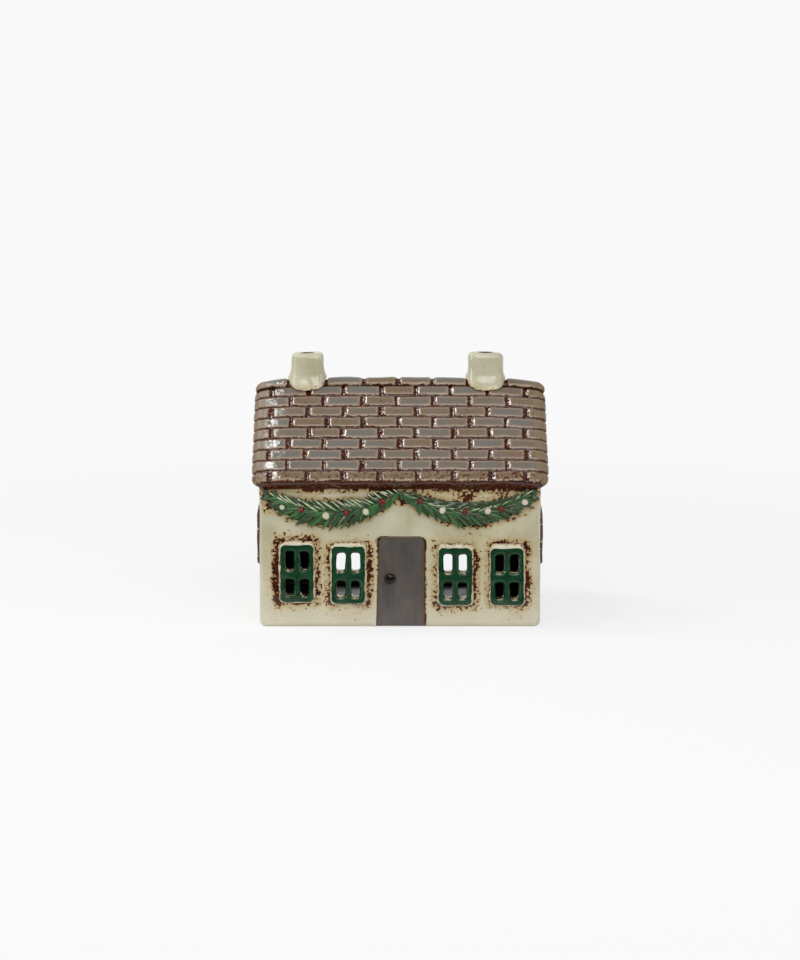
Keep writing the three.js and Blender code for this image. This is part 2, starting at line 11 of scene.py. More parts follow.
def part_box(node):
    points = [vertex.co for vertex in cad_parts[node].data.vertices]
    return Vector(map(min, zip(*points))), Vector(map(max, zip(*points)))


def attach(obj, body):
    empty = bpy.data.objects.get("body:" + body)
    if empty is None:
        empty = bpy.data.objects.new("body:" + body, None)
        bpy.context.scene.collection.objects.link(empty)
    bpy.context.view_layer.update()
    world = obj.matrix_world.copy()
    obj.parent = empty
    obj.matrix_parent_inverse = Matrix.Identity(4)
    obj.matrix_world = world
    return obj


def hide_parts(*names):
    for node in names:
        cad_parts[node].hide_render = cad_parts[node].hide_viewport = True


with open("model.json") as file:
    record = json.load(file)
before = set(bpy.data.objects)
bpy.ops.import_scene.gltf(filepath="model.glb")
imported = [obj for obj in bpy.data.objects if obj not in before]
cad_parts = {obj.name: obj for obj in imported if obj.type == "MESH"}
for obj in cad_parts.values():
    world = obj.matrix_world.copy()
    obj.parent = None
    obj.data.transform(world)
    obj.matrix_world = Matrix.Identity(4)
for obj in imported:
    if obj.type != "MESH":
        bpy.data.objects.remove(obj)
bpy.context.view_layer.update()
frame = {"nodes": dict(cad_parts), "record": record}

# Camera: level with the eave and a little above it, far enough away that the house stands
# almost square to the picture. The focal length is counted in pixels of the 960 pixel side.
mm = 0.001
scene = bpy.context.scene
aim = Vector((0, 0, 63.75 * mm))
camera_rise = math.radians(8.5)
camera_distance = 1240 * mm
focal_pixels = 2562
picture_height = 960
camera = bpy.data.objects.new("camera", bpy.data.cameras.new("camera"))
camera.data.sensor_width = 36
camera.data.lens = focal_pixels / picture_height * camera.data.sensor_width
camera.location = aim + camera_distance * Vector((0, -math.cos(camera_rise), math.sin(camera_rise)))
camera.rotation_euler = (math.pi / 2 - camera_rise, 0, 0)
scene.collection.objects.link(camera)
scene.camera = camera
scene.view_settings.view_transform = "Standard"


# Lights: soft boxes overhead, in front and on the right give the even light. Two small lamps
# high up on the left and a tall strip beside the house draw the glints on rounded glaze.
def soft_box(name, place, size, power):
    """A rectangular lamp that faces the house, its place and size in metres."""
    lamp = bpy.data.objects.new(name, bpy.data.lights.new(name, "AREA"))
    lamp.data.shape = "RECTANGLE"
    lamp.data.size, lamp.data.size_y = size
    lamp.data.energy = power
    lamp.location = place
    lamp.rotation_euler = (aim - Vector(place)).to_track_quat("-Z", "Y").to_euler()
    scene.collection.objects.link(lamp)


soft_box("overhead_soft_box", (0.0, -0.95, 1.25), (1.4, 0.5), 8.0)
soft_box("front_soft_box", (0.25, -1.6, 0.75), (0.8, 0.5), 5.5)
soft_box("glint_lamp", (-0.6, 0.09, 0.98), (0.16, 0.3), 3.2)
soft_box("verge_lamp", (-0.325, -0.1, 1.12), (0.06, 0.12), 1.5)
soft_box("left_strip", (-1.0, -0.5, 0.3), (0.15, 0.7), 2.4)
soft_box("right_soft_box", (0.95, -0.5, 0.5), (0.3, 0.6), 1.6)


# Background: a roll of white paper under and behind the object, here a floor and the world.
# The camera and what mirrors the paper see it nearly white. The lamps and a dimmer grey room
# light the object, and in front the roll ends, so front faces mirror only the dim room.
def colour(code):
    """A colour written as sRGB hex, as the linear colour that a socket takes."""
    parts = [int(code[i : i + 2], 16) / 255 for i in (1, 3, 5)]
    linear = [p / 12.92 if p <= 0.04045 else ((p + 0.055) / 1.055) ** 2.4 for p in parts]
    return (*linear, 1)


def add(tree, kind, links=None, **settings):
    """Adds a node and returns its outputs. links gives inputs a value or another's output."""
    node = tree.nodes.new(kind)
    for name, value in settings.items():
        setattr(node, name, value)
    for name, value in (links or {}).items():
        if isinstance(value, bpy.types.NodeSocket):
            tree.links.new(value, node.inputs[name])
        else:
            node.inputs[name].default_value = value
    return node.outputs


def empty_tree(owner):
    """The node tree of a material or of the world, with nothing in it yet."""
    owner.use_nodes = True
    owner.node_tree.nodes.clear()
    return owner.node_tree


def new_piece(name, shape):
    """A new object in the scene, with the mesh that a bmesh holds."""
    data = bpy.data.meshes.new(name)
    shape.to_mesh(data)
    shape.free()
    piece = bpy.data.objects.new(name, data)
    scene.collection.objects.link(piece)
    return piece


def paper_seen(tree, behind):
    """Which rays see the paper itself, and which mirror what is in front of the roll."""
    ray = add(tree, "ShaderNodeLightPath")
    mirrored = add(tree, "ShaderNodeMath", {0: ray["Is Glossy Ray"], 1: ray["Is Transmission Ray"]})[0]
    behind_ray = add(tree, "ShaderNodeMath", {0: mirrored, 1: behind}, operation="MULTIPLY")[0]
    front_ray = add(tree, "ShaderNodeMath", {0: mirrored, 1: behind_ray}, operation="SUBTRACT")[0]
    seen = add(tree, "ShaderNodeMath", {0: ray["Is Camera Ray"], 1: behind_ray}, use_clamp=True)[0]
    return seen, front_ray


paper = colour("#f9f9f9")
grey_room = colour("#dfe2e4")
world = bpy.data.worlds.new("paper_room")
room = empty_tree(world)
backwards = add(room, "ShaderNodeSeparateXYZ", {0: add(room, "ShaderNodeTexCoord")["Generated"]})[1]
behind = add(room, "ShaderNodeMapRange", {"Value": backwards, "From Min": 0.15, "From Max": 0.5})[0]
seen, front_ray = paper_seen(room, behind)
shown = add(room, "ShaderNodeBackground", {"Color": paper, "Strength": 1.0})[0]
lit = add(room, "ShaderNodeBackground", {"Color": grey_room, "Strength": 0.42})[0]
dim = add(room, "ShaderNodeBackground", {"Color": grey_room, "Strength": 0.2})[0]
unseen = add(room, "ShaderNodeMixShader", {0: front_ray, 1: lit, 2: dim})[0]
either = add(room, "ShaderNodeMixShader", {0: seen, 1: unseen, 2: shown})[0]
add(room, "ShaderNodeOutputWorld", {"Surface": either})
scene.world = world

floor_reach = 30  # metres to each edge, far out of the picture
sheet = bmesh.new()
bmesh.ops.create_grid(sheet, x_segments=1, y_segments=1, size=floor_reach)
floor = new_piece("paper_floor", sheet)
paper_roll = bpy.data.materials.new("matt_white_paper")
tree = empty_tree(paper_roll)
place = add(tree, "ShaderNodeTexCoord")["Object"]
backwards = add(tree, "ShaderNodeSeparateXYZ", {0: place})[1]
behind = {"Value": backwards, "From Min": -120 * mm, "From Max": -60 * mm}
behind = add(tree, "ShaderNodeMapRange", behind)[0]
seen, front_ray = paper_seen(tree, behind)
away = add(tree, "ShaderNodeVectorMath", {0: place}, operation="LENGTH")["Value"]
glow_links = {"Value": away, "From Min": 0.15, "From Max": 0.6, "To Min": 0.75, "To Max": 1.0}
glow_share = add(tree, "ShaderNodeMapRange", glow_links)[0]
matt = add(tree, "ShaderNodeBsdfDiffuse", {"Color": colour("#f4f4f4")})[0]
dim_matt = add(tree, "ShaderNodeBsdfDiffuse", {"Color": colour("#5c5c5c")})[0]
glow = add(tree, "ShaderNodeEmission", {"Color": paper, "Strength": 1.0})[0]
shown = add(tree, "ShaderNodeMixShader", {0: glow_share, 1: matt, 2: glow})[0]
unseen = add(tree, "ShaderNodeMixShader", {0: front_ray, 1: matt, 2: dim_matt})[0]
either = add(tree, "ShaderNodeMixShader", {0: seen, 1: unseen, 2: shown})[0]
add(tree, "ShaderNodeOutputMaterial", {"Surface": either})
floor.data.materials.append(paper_roll)


# Cream tin glaze, dipped over every clay wall: a soft wet shine and warm clouds. Under it is
# an iron slip, which bleeds through as brown crumbs with tan edges wherever something is
# pressed on. Inside there is only the slip, dark and satin, and the foot is bare clay.
def node_group(name, kind, takes, gives):
    """An empty group of nodes. Its inputs and outputs are given by name, with what they hold."""
    group = bpy.data.node_groups.new(name, kind)
    for in_out, sockets in (("INPUT", takes), ("OUTPUT", gives)):
        for socket, holds in sockets.items():
            group.interface.new_socket(socket, in_out=in_out, socket_type="NodeSocket" + holds)
    return group


most_noise = {"From Min": 0.35, "From Max": 0.65}  # most of a noise lies between
crumb_size, brown_size = 1.3 * mm, 1.5 * mm
speckle_takes = {"Glaze": "Color", "Iron": "Float"}
speckle_gives = {"Colour": "Color", "Crumb": "Float"}
speckle = node_group("iron_bleeding_through", "ShaderNodeTree", speckle_takes, speckle_gives)
given = add(speckle, "NodeGroupInput")
place = add(speckle, "ShaderNodeTexCoord")["Object"]
grain = {"Vector": place, "Scale": 1 / crumb_size, "Detail": 2.0, "Roughness": 0.5}
grain = add(speckle, "ShaderNodeTexNoise", grain)[0]
rust = add(speckle, "ShaderNodeMath", {0: given["Iron"], 1: 0.34, 2: grain}, operation="MULTIPLY_ADD")[0]
crumb = add(speckle, "ShaderNodeMapRange", {"Value": rust, "From Min": 0.73, "From Max": 0.77})[0]
halo = {"Value": rust, "From Min": 0.59, "From Max": 0.74, "To Max": 0.7}
halo = add(speckle, "ShaderNodeMapRange", halo)[0]
near = add(speckle, "ShaderNodeMapRange", {"Value": given["Iron"], "From Max": 0.3})[0]
halo = add(speckle, "ShaderNodeMath", {0: halo, 1: near}, operation="MULTIPLY")[0]
stain = {"Value": given["Iron"], "From Max": 0.35, "To Max": 0.6}
stain = add(speckle, "ShaderNodeMapRange", stain)[0]
tint = {0: stain, 6: given["Glaze"], 7: colour("#b09a68")}
tint = add(speckle, "ShaderNodeMix", tint, data_type="RGBA")[2]
tint = add(speckle, "ShaderNodeMix", {0: halo, 6: tint, 7: colour("#9c7443")}, data_type="RGBA")[2]
depth = add(speckle, "ShaderNodeTexNoise", {"Vector": place, "Scale": 1 / brown_size, "Detail": 2.0})[0]
depth = add(speckle, "ShaderNodeMapRange", {"Value": depth, **most_noise})[0]
brown = {0: depth, 6: colour("#1f0c06"), 7: colour("#52220b")}
brown = add(speckle, "ShaderNodeMix", brown, data_type="RGBA")[2]
tint = add(speckle, "ShaderNodeMix", {0: crumb, 6: tint, 7: brown}, data_type="RGBA")[2]
add(speckle, "NodeGroupOutput", {0: tint, 1: crumb})


def new_glaze(name, roughness=0.5):
    """An empty glaze: its material, node tree, inputs and the places its pattern reads."""
    material = bpy.data.materials.new(name)
    tree = empty_tree(material)
    surface = add(tree, "ShaderNodeBsdfPrincipled", {"IOR": 1.5, "Roughness": roughness})[0]
    add(tree, "ShaderNodeOutputMaterial", {"Surface": surface})
    return material, tree, surface.node.inputs, add(tree, "ShaderNodeTexCoord")["Object"]


cloud_size, peel_size = 13 * mm, 3 * mm
paler_below, palest_at = 42 * mm, 4 * mm  # painted shade: the cream is darker up under the eave, paler low down
cream_glaze, tree, shader, place = new_glaze("cream_tin_glaze")
wall_notes = ("iron", "inside", "bare")
iron, inside, bare = [
    add(tree, "ShaderNodeAttribute", attribute_name=note)["Fac"] for note in wall_notes
]
clouds = add(tree, "ShaderNodeTexNoise", {"Vector": place, "Scale": 1 / cloud_size, "Detail": 4.0})[0]
clouds = add(tree, "ShaderNodeMapRange", {"Value": clouds, **most_noise})[0]
cream = {0: clouds, 6: colour("#aaa589"), 7: colour("#bdb8a0")}
cream = add(tree, "ShaderNodeMix", cream, data_type="RGBA")[2]
height = add(tree, "ShaderNodeSeparateXYZ", {0: place})[2]
# Painted shade: the cream is mixed paler towards the foot, so it stays darker high up, where the eave's
# shadow falls.
low = {"Value": height, "From Min": paler_below, "From Max": palest_at, "To Max": 0.75}
low = add(tree, "ShaderNodeMapRange", low)[0]
cream = add(tree, "ShaderNodeMix", {0: low, 6: cream, 7: colour("#cdc7b2")}, data_type="RGBA")[2]
bled = add(tree, "ShaderNodeGroup", {"Glaze": cream, "Iron": iron}, node_tree=speckle)
tint = add(tree, "ShaderNodeMix", {0: inside, 6: bled[0], 7: colour("#21100b")}, data_type="RGBA")[2]
tint = add(tree, "ShaderNodeMix", {0: bare, 6: tint, 7: colour("#cfc0a4")}, data_type="RGBA")[2]
tree.links.new(tint, shader["Base Color"])
rough = add(tree, "ShaderNodeMapRange", {"Value": inside, "To Min": 0.12, "To Max": 0.34})[0]
rough = add(tree, "ShaderNodeMapRange", {"Value": bare, "To Min": rough, "To Max": 0.85})[0]
tree.links.new(rough, shader["Roughness"])
peel = add(tree, "ShaderNodeTexNoise", {"Vector": place, "Scale": 1 / peel_size, "Detail": 2.0})[0]
swell = add(tree, "ShaderNodeMath", {0: bled[1], 1: 0.5, 2: peel}, operation="MULTIPLY_ADD")[0]
bump = add(tree, "ShaderNodeBump", {"Height": swell, "Strength": 0.6, "Distance": 0.16 * mm})[0]
tree.links.new(bump, shader["Normal"])

# Walls and floor: five slabs of white earthenware, luted together at the corners and then
# rounded off by the slip and the glaze. They are one skin here, cut into the five slabs.
wall_low, wall_high = np.round(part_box("front_wall"), 6).tolist()
wall_end, wall_face, wall_thick = wall_high[0], -wall_low[1], wall_high[1] - wall_low[1]
wall_height = 66.4 * mm  # up to the underside of the roof, at its outer face
roof_end = round(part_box("ridge_cap")[1].x, 6)
crest = 113.1 * mm  # top of the ridge tiles
lute = 0.15 * mm  # line of slip between two pieces of clay
arch_half, arch_sill = 36 * mm, 9 * mm  # the opening in the back wall
arch_spring, arch_rise = 30 * mm, 25 * mm


def clay_copy(name, nodes):
    """A merged copy of some pieces of clay, as one new object."""
    clay = bmesh.new()
    for node in nodes:
        clay.from_mesh(frame["nodes"][node].data)
    bmesh.ops.remove_doubles(clay, verts=clay.verts, dist=0.001 * mm)
    return new_piece(name, clay)


def applied(piece):
    """Turns what the modifiers make of a piece into its own mesh."""
    bpy.context.view_layer.update()
    made = piece.evaluated_get(bpy.context.evaluated_depsgraph_get())
    data = bpy.data.meshes.new_from_object(made)
    piece.modifiers.clear()
    old, piece.data = piece.data, data
    bpy.data.meshes.remove(old)
    data.name = piece.name
    return piece


def smoothed(piece, rounds):
    """Draws each point half way towards its neighbours, this many times over."""
    smooth = piece.modifiers.new("smoothed", "SMOOTH")
    smooth.factor = 0.5
    smooth.iterations = rounds
    return applied(piece)


def softened(piece, voxel, rounds):
    """Rounds off every edge, as slip and glaze do, and gives the piece a fine even mesh."""
    remesh = piece.modifiers.new("voxels", "REMESH")
    remesh.mode = "VOXEL"
    remesh.voxel_size = voxel
    remesh.use_smooth_shade = True
    return smoothed(piece, rounds)


def read(collection, key):
    """The vectors of a mesh as an array, with one row a point."""
    flat = np.empty(len(collection) * 3, np.float32)
    collection.foreach_get(key, flat)
    return flat.reshape(-1, 3).astype(float)


def points(piece):
    """Where the points of a piece lie, with one row a point."""
    return read(piece.data.vertices, "co")


def move_points(piece, places):
    """Puts the points of a piece at these places."""
    piece.data.vertices.foreach_set("co", places.astype(np.float32).ravel())
    piece.data.update()


def paint(piece, name, values):
    """Writes one number per point, for the glaze to read."""
    layer = piece.data.attributes.get(name) or piece.data.attributes.new(name, "FLOAT", "POINT")
    spread = np.broadcast_to(values, len(piece.data.vertices))
    layer.data.foreach_set("value", spread.astype(np.float32))


waves = 6
usual_sum = 2.4  # what the waves mostly stay below when they are added up


def wander(places, wave, seed):
    """A smooth field between about -1 and 1, because hands never press quite evenly."""
    chance = np.random.default_rng(seed)
    total = np.zeros(len(places))
    for _ in range(waves):
        way = chance.normal(size=3)
        way *= chance.uniform(0.7, 1.5) * 2 * math.pi / wave / np.linalg.norm(way)
        total += np.sin(places @ way + chance.uniform(0, 2 * math.pi))
    return total / usual_sum


def smooth_step(low, high, values):
    """Goes softly from 0 at low to 1 at high. Low may be the larger of the two."""
    part = np.clip((values - low) / (high - low), 0, 1)
    return part * part * (3 - 2 * part)


def hand_pressed(piece, wave, depth, seed):
    """Presses a piece in and swells it out along its own surface, by up to the depth."""
    places = points(piece)
    outward = read(piece.data.vertex_normals, "vector")
    move_points(piece, places + outward * (depth * wander(places, wave, seed))[:, None])


ridge_bow = 0.8 * mm


def settled(piece):
    """In the kiln the ridge bent a little, up in the middle and down at both ends."""
    places = points(piece)
    end_share = np.clip(np.abs(places[:, 0]) / roof_end, 0, 1) ** 4
    height_share = np.clip((places[:, 2] - wall_height) / (crest - wall_height), 0, 1) ** 2.5
    places[:, 2] += ridge_bow * (1 - 2 * end_share) * height_share
    move_points(piece, places)


def crease(nodes, places, reach):
    """Each place's distance from the nearest of these pieces, and the way there from it."""
    corners, faces = [], []
    for node in nodes:
        data = frame["nodes"][node].data
        start = len(corners)
        corners += [v.co.copy() for v in data.vertices]
        faces += [[start + i for i in face.vertices] for face in data.polygons]
    pressed_on = BVHTree.FromPolygons(corners, faces)
    away = np.full(len(places), reach)
    outward = np.zeros((len(places), 3))
    for i, place in enumerate(places):
        near, _, _, distance = pressed_on.find_nearest(Vector(place), reach)
        if near is not None:
            away[i] = distance
            outward[i] = (place - np.array(near)) / max(distance, 0.01 * mm)
    return away, outward


def cut_to(piece, low, high):
    """Keeps what lies inside a box, as a closed piece with crisp cut edges."""
    box = bmesh.new()
    bmesh.ops.create_cube(box, size=1)
    for corner in box.verts:
        corner.co = [low[i] if corner.co[i] < 0 else high[i] for i in range(3)]
    knife = new_piece("knife", box)
    cut = piece.modifiers.new("cut", "BOOLEAN")
    cut.operation = "INTERSECT"
    cut.solver = "MANIFOLD"
    cut.object = knife
    applied(piece)
    bpy.data.objects.remove(knife)
    piece.data.materials.clear()
    piece.data.shade_smooth()
    piece.data.set_sharp_from_angle(angle=math.radians(60))


def finished(piece, node, glaze):
    """Gives a piece its glaze and puts it in the place of the CAD node."""
    if glaze.name not in piece.data.materials:
        piece.data.materials.append(glaze)
    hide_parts(node)
    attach(piece, "root")


# How strongly the iron bleeds out beside each window: on its left, right, top and foot
window_rings = {
    "window_outer_left": (2.0, 1.0, 0.8, 0.5),
    "window_inner_left": (0.6, 1.5, 0.3, 0.45),
    "window_inner_right": (0.6, 1.0, 0.15, 0.5),
    "window_outer_right": (0.4, 1.0, 0.75, 0.3),
    "left_gable_window": (1.1, 1.1, 0.6, 0.6),
    "right_gable_window": (1.1, 1.1, 0.6, 0.6),
}
# Where the glaze lies thin over the iron slip, as place along and up, reach and strength: at
# the outer end of the left swag, between the two swags, and over the right one
thin_spots = (
    (-61.2 * mm, 56.8 * mm, 4.2 * mm, 1.4),
    (1 * mm, 61 * mm, 4.5 * mm, 1.4),
    (32 * mm, 62.5 * mm, 9 * mm, 0.85),
    (48 * mm, 62 * mm, 6 * mm, 0.8),
)
ring_reach, stain_reach, stain_share = 3.9 * mm, 9 * mm, 0.25
swag_stain, eave_stain = 3.2 * mm, 3.4 * mm
door_rim, arch_rim = 1.2 * mm, 1.8 * mm
most_iron = 1.2
line_wave = 6 * mm  # how quickly a line drawn by hand wavers
slip_waver, slip_starts, slip_full = 0.8 * mm, 2.2 * mm, 4.2 * mm  # below the outer face
glaze_ends, all_bare = 0.7 * mm, 0.2 * mm  # above the table
wall_nodes = ["front_wall", "back_wall", "left_gable_wall", "right_gable_wall", "floor_slab"]
body = clay_copy("house_body", wall_nodes)
# Slip has run into the left side of the door's pocket, more at its top than at its foot
pocket_filled, filled_at_foot = 1.5 * mm, 0.4 * mm
into_wall, below_lintel = 0.5 * mm, 3 * mm
door_low, door_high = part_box("door_panel")
clay = bmesh.new()
clay.from_mesh(body.data)
for corner in bmesh.ops.create_cube(clay, size=1)["verts"]:
    filled = pocket_filled if corner.co.z > 0 else filled_at_foot
    x = door_low.x + (filled if corner.co.x > 0 else -into_wall)
    y = door_high.y + into_wall if corner.co.y > 0 else -wall_face
    corner.co = (x, y, door_high.z - below_lintel if corner.co.z > 0 else 0)
clay.to_mesh(body.data)
clay.free()
swell = body.modifiers.new("slip_in_the_joints", "DISPLACE")
swell.strength = 0.7 * lute
swell.mid_level = 0
softened(body, 0.5 * mm, 4)
# The pressing fades out at the foot, which stands level, rounded below the gables
level_foot, foot_round, round_corner = 6 * mm, 1.6 * mm, 3 * mm
smooth_places = points(body)
hand_pressed(body, 19 * mm, 0.16 * mm, 3)
pressed_share = smooth_step(0, level_foot, smooth_places[:, 2])
places = smooth_places + (points(body) - smooth_places) * pressed_share[:, None]
places[:, 2] = np.maximum(places[:, 2], 0)
low_down = np.clip(1 - places[:, 2] / foot_round, 0, 1)
inset = foot_round * (1 - np.sqrt(1 - low_down**2))
inset *= smooth_step(wall_end - round_corner, wall_end, np.abs(places[:, 0]))
places[:, 0] -= np.sign(places[:, 0]) * inset
move_points(body, places)
settled(body)
# The cuts run clear of the walls' uneven inner faces, so no sliver of wall is left on the floor
clear_of_wall = 0.6 * mm
inner_end = wall_end - wall_thick - clear_of_wall
inner_face = wall_face - wall_thick - clear_of_wall
far = 300 * mm
regions = {
    "front_wall": ((-far, -far, -far), (far, -inner_face, far)),
    "back_wall": ((-far, inner_face, -far), (far, far, far)),
    "left_gable_wall": ((-far, -inner_face, -far), (-inner_end, inner_face, far)),
    "right_gable_wall": ((inner_end, -inner_face, -far), (far, inner_face, far)),
    "floor_slab": ((-inner_end, -inner_face, -far), (inner_end, inner_face, far)),
}
for name, (low, high) in regions.items():
    wall = bpy.data.objects.new("glazed_" + name, body.data.copy())
    scene.collection.objects.link(wall)
    cut_to(wall, low, high)
    places = points(wall)
    depth = np.minimum(wall_end - np.abs(places[:, 0]), wall_face - np.abs(places[:, 1]))
    outer = depth < wall_thick / 2
    skin = places[outer]
    amount = np.zeros(len(skin))
    for window, (left, right, top, foot) in window_rings.items():
        away, way = crease([window], skin, stain_reach)
        level = way[:, 0] + way[:, 1] * np.sign(skin[:, 0])  # along the wall
        sides = np.maximum(level, 0) * right + np.maximum(-level, 0) * left
        ends = np.maximum(way[:, 2], 0) * top + np.maximum(-way[:, 2], 0) * foot
        ring = (sides + ends) * np.clip(1 - away / ring_reach, 0, 1) ** 0.7
        amount = np.maximum(amount, np.maximum(ring, stain_share * (1 - away / stain_reach)))
    for nodes, reach in (
        (["garland_left", "garland_right"], swag_stain),
        (["front_roof_slab", "back_roof_slab"], eave_stain),
    ):
        away, way = crease(nodes, skin, reach)
        side = np.where(way[:, 2] > 0, 0.62, 1.0)  # less above a piece than below it
        amount = np.maximum(amount, side * (1 - away / reach))
    for x, z, reach, strength in thin_spots:
        at_back = skin[:, 1] > 0
        away = np.hypot(skin[:, 0] - x, skin[:, 2] - z) + far * at_back
        amount = np.maximum(amount, strength * (1 - away / reach))
    by_the_door = skin - np.outer(skin[:, 0] < 0, (pocket_filled, 0, 0))
    away, way = crease(["door_panel"], by_the_door, door_rim)
    at_its_sides = way[:, 2] < 0.7
    amount = np.maximum(amount, at_its_sides * (door_rim - away) / mm)
    if name == "back_wall":
        over = np.hypot(skin[:, 0] / arch_half, (skin[:, 2] - arch_spring) / arch_rise)
        beside = np.maximum(np.abs(skin[:, 0]) - arch_half, arch_sill - skin[:, 2])
        from_arch = np.where(skin[:, 2] > arch_spring, (over - 1) * arch_rise, beside)
        amount = np.maximum(amount, 1.1 * (1 - np.abs(from_arch) / arch_rim))
    iron_there = np.zeros(len(places))
    iron_there[outer] = amount * (1 + 0.35 * wander(skin, 15 * mm, 8))
    paint(wall, "iron", np.clip(iron_there, 0, most_iron))
    slip_line = depth + slip_waver * wander(places, line_wave, 5)
    paint(wall, "inside", smooth_step(slip_starts, slip_full, slip_line))
    paint(wall, "bare", smooth_step(glaze_ends, all_bare, places[:, 2]))
    finished(wall, name, cream_glaze)
bpy.data.objects.remove(body)

# Roof slopes: two slabs of the same clay, pressed in a mould with nine courses of long tiles
# below the ridge, in running bond. The mould is worn, so no two tiles are quite alike, and
# their edges waver. The slabs are mitred at the crest and luted down on the walls.
pitch = math.radians(43.2)
roof_thick = 6.4 * mm  # up to the tile faces
relief = 1.2 * mm
verge_round, verge_overhang = 4 * mm, 3 * mm
eave_round, eave_overhang = 1.1 * mm, 5 * mm
corner_round = 4.5 * mm  # of the slab, seen from above
ridge_thick = 3 * mm
crest_radius = 4 * mm
courses = 10  # the highest one lies under the ridge tiles
tile_length, least_tile = 17.2 * mm, 5 * mm
tile_joint, course_joint = 2.3 * mm, 1.1 * mm
first_joint = -0.9 * mm
edge_waver, waver_size, lump_size = 1.7 * mm, 4 * mm, 1.6 * mm
face_starts, face_full = -0.9 * mm, 0.45 * mm  # past the edge of a groove
tile_corner, edge_reach = 0.5 * mm, 2 * mm
tan_pitch, cos_pitch, sin_pitch = math.tan(pitch), math.cos(pitch), math.sin(pitch)
underside_apex = wall_height + wall_face * tan_pitch
crest_centre = underside_apex + (roof_thick - crest_radius) / cos_pitch
top_line = -roof_thick * tan_pitch  # where the tile faces of the two slopes would meet
course_height = (wall_face + eave_overhang) / cos_pitch / courses
eave_line = top_line + courses * course_height
cap_line = top_line + course_height
slab_end = roof_end - 0.25 * relief
verge_droop, verge_soft = 1.3 * mm, 18 * mm  # how far it bends down there, and how gently
slab_columns = np.linspace(-slab_end, slab_end, 247)


def box_grid(name, columns, rows, layers):
    """A closed box of small quads with its corners at these places along, down and up."""
    on_skin = np.zeros((len(columns), len(rows), len(layers)), bool)
    on_skin[[0, -1]] = on_skin[:, [0, -1]] = on_skin[:, :, [0, -1]] = True
    index = np.full(on_skin.shape, -1)
    index[on_skin] = np.arange(on_skin.sum())
    quads = []
    for sheet, turned in (
        (index[0], True),
        (index[-1], False),
        (index[:, 0], False),
        (index[:, -1], True),
        (index[:, :, 0], True),
        (index[:, :, -1], False),
    ):
        quad = np.stack([sheet[:-1, :-1], sheet[1:, :-1], sheet[1:, 1:], sheet[:-1, 1:]], -1)
        quads += quad.reshape(-1, 4)[:, :: -1 if turned else 1].tolist()
    i, j, k = np.nonzero(on_skin)
    data = bpy.data.meshes.new(name)
    data.from_pydata(np.column_stack([columns[i], rows[j], layers[k]]).tolist(), [], quads)
    data.shade_smooth()
    piece = bpy.data.objects.new(name, data)
    scene.collection.objects.link(piece)
    return piece


def verge_shaped(places, low, top):
    """Rounds the two ends of a slab over, and slants them back below to the gable."""
    along, layer = places[:, 0], places[:, 2]
    radius = verge_round - relief
    turn = np.clip((np.abs(along) - (slab_end - radius)) / radius, 0, 1) * math.pi / 2
    flat = np.minimum(np.abs(along), slab_end - radius)
    top_along = np.sign(along) * (flat + radius * np.sin(turn))
    low_along = along * (roof_end - verge_overhang) / slab_end
    places[:, 0] = low_along + layer * (top_along - low_along)
    bent = verge_droop * np.clip((np.abs(along) - slab_end) / verge_soft + 1, 0, 1) ** 2
    places[:, 2] = low + layer * (top - bent - radius * (1 - np.cos(turn)) - low)
    return places


def off_groove(shares, length, half_gap):
    """How far a place lies past a groove's edge, from its shares of a tile off the middle."""
    off = add(mould, "ShaderNodeMath", {0: shares}, operation="ABSOLUTE")[0]
    off = add(mould, "ShaderNodeMath", {0: off, 1: length}, operation="MULTIPLY")[0]
    return add(mould, "ShaderNodeMath", {0: off, 1: half_gap}, operation="SUBTRACT")[0]


# The mould, as a tree of nodes: it lifts tile faces off a plain slab that is laid out flat,
# and writes down where the faces, their edges and the single tiles are.
mould_numbers = ("Tile length", "Course height", "Top line", "Tile joint", "Course joint")
mould_numbers += ("Relief", "First joint", "Last joint", "Waver", "Seed")
mould_takes = {"Slab": "Geometry", **dict.fromkeys(mould_numbers, "Float"), "Glaze": "Material"}
mould = node_group("tile_mould", "GeometryNodeTree", mould_takes, {"Tiled slab": "Geometry"})
given = add(mould, "NodeGroupInput")
spot = add(mould, "GeometryNodeInputPosition")[0]
hand = {"Vector": spot, "W": given["Seed"], "Scale": 1 / waver_size, "Detail": 4.0, "Roughness": 0.68}
hand = add(mould, "ShaderNodeTexNoise", hand, noise_dimensions="4D")["Color"]
sway = add(mould, "ShaderNodeVectorMath", {0: hand, 1: (0.5, 0.5, 0.5)}, operation="SUBTRACT")[0]
sway = add(mould, "ShaderNodeVectorMath", {0: sway, "Scale": given["Waver"]}, operation="SCALE")[0]
swayed = add(mould, "ShaderNodeVectorMath", {0: spot, 1: sway}, operation="ADD")[0]
swayed = add(mould, "ShaderNodeSeparateXYZ", {0: swayed})
# Courses: how many course heights below the top line, and how far from the nearest line
down = add(mould, "ShaderNodeMath", {0: swayed[1], 1: given["Top line"]}, operation="SUBTRACT")[0]
down = add(mould, "ShaderNodeMath", {0: down, 1: given["Course height"]}, operation="DIVIDE")[0]
course = add(mould, "ShaderNodeMath", {0: down}, operation="FLOOR")[0]
line = add(mould, "ShaderNodeMath", {0: down}, operation="ROUND")[0]
from_line = add(mould, "ShaderNodeMath", {0: down, 1: line}, operation="SUBTRACT")[0]
half_line = add(mould, "ShaderNodeMath", {0: given["Course joint"], 1: 0.5}, operation="MULTIPLY")[0]
from_line = off_groove(from_line, given["Course height"], half_line)
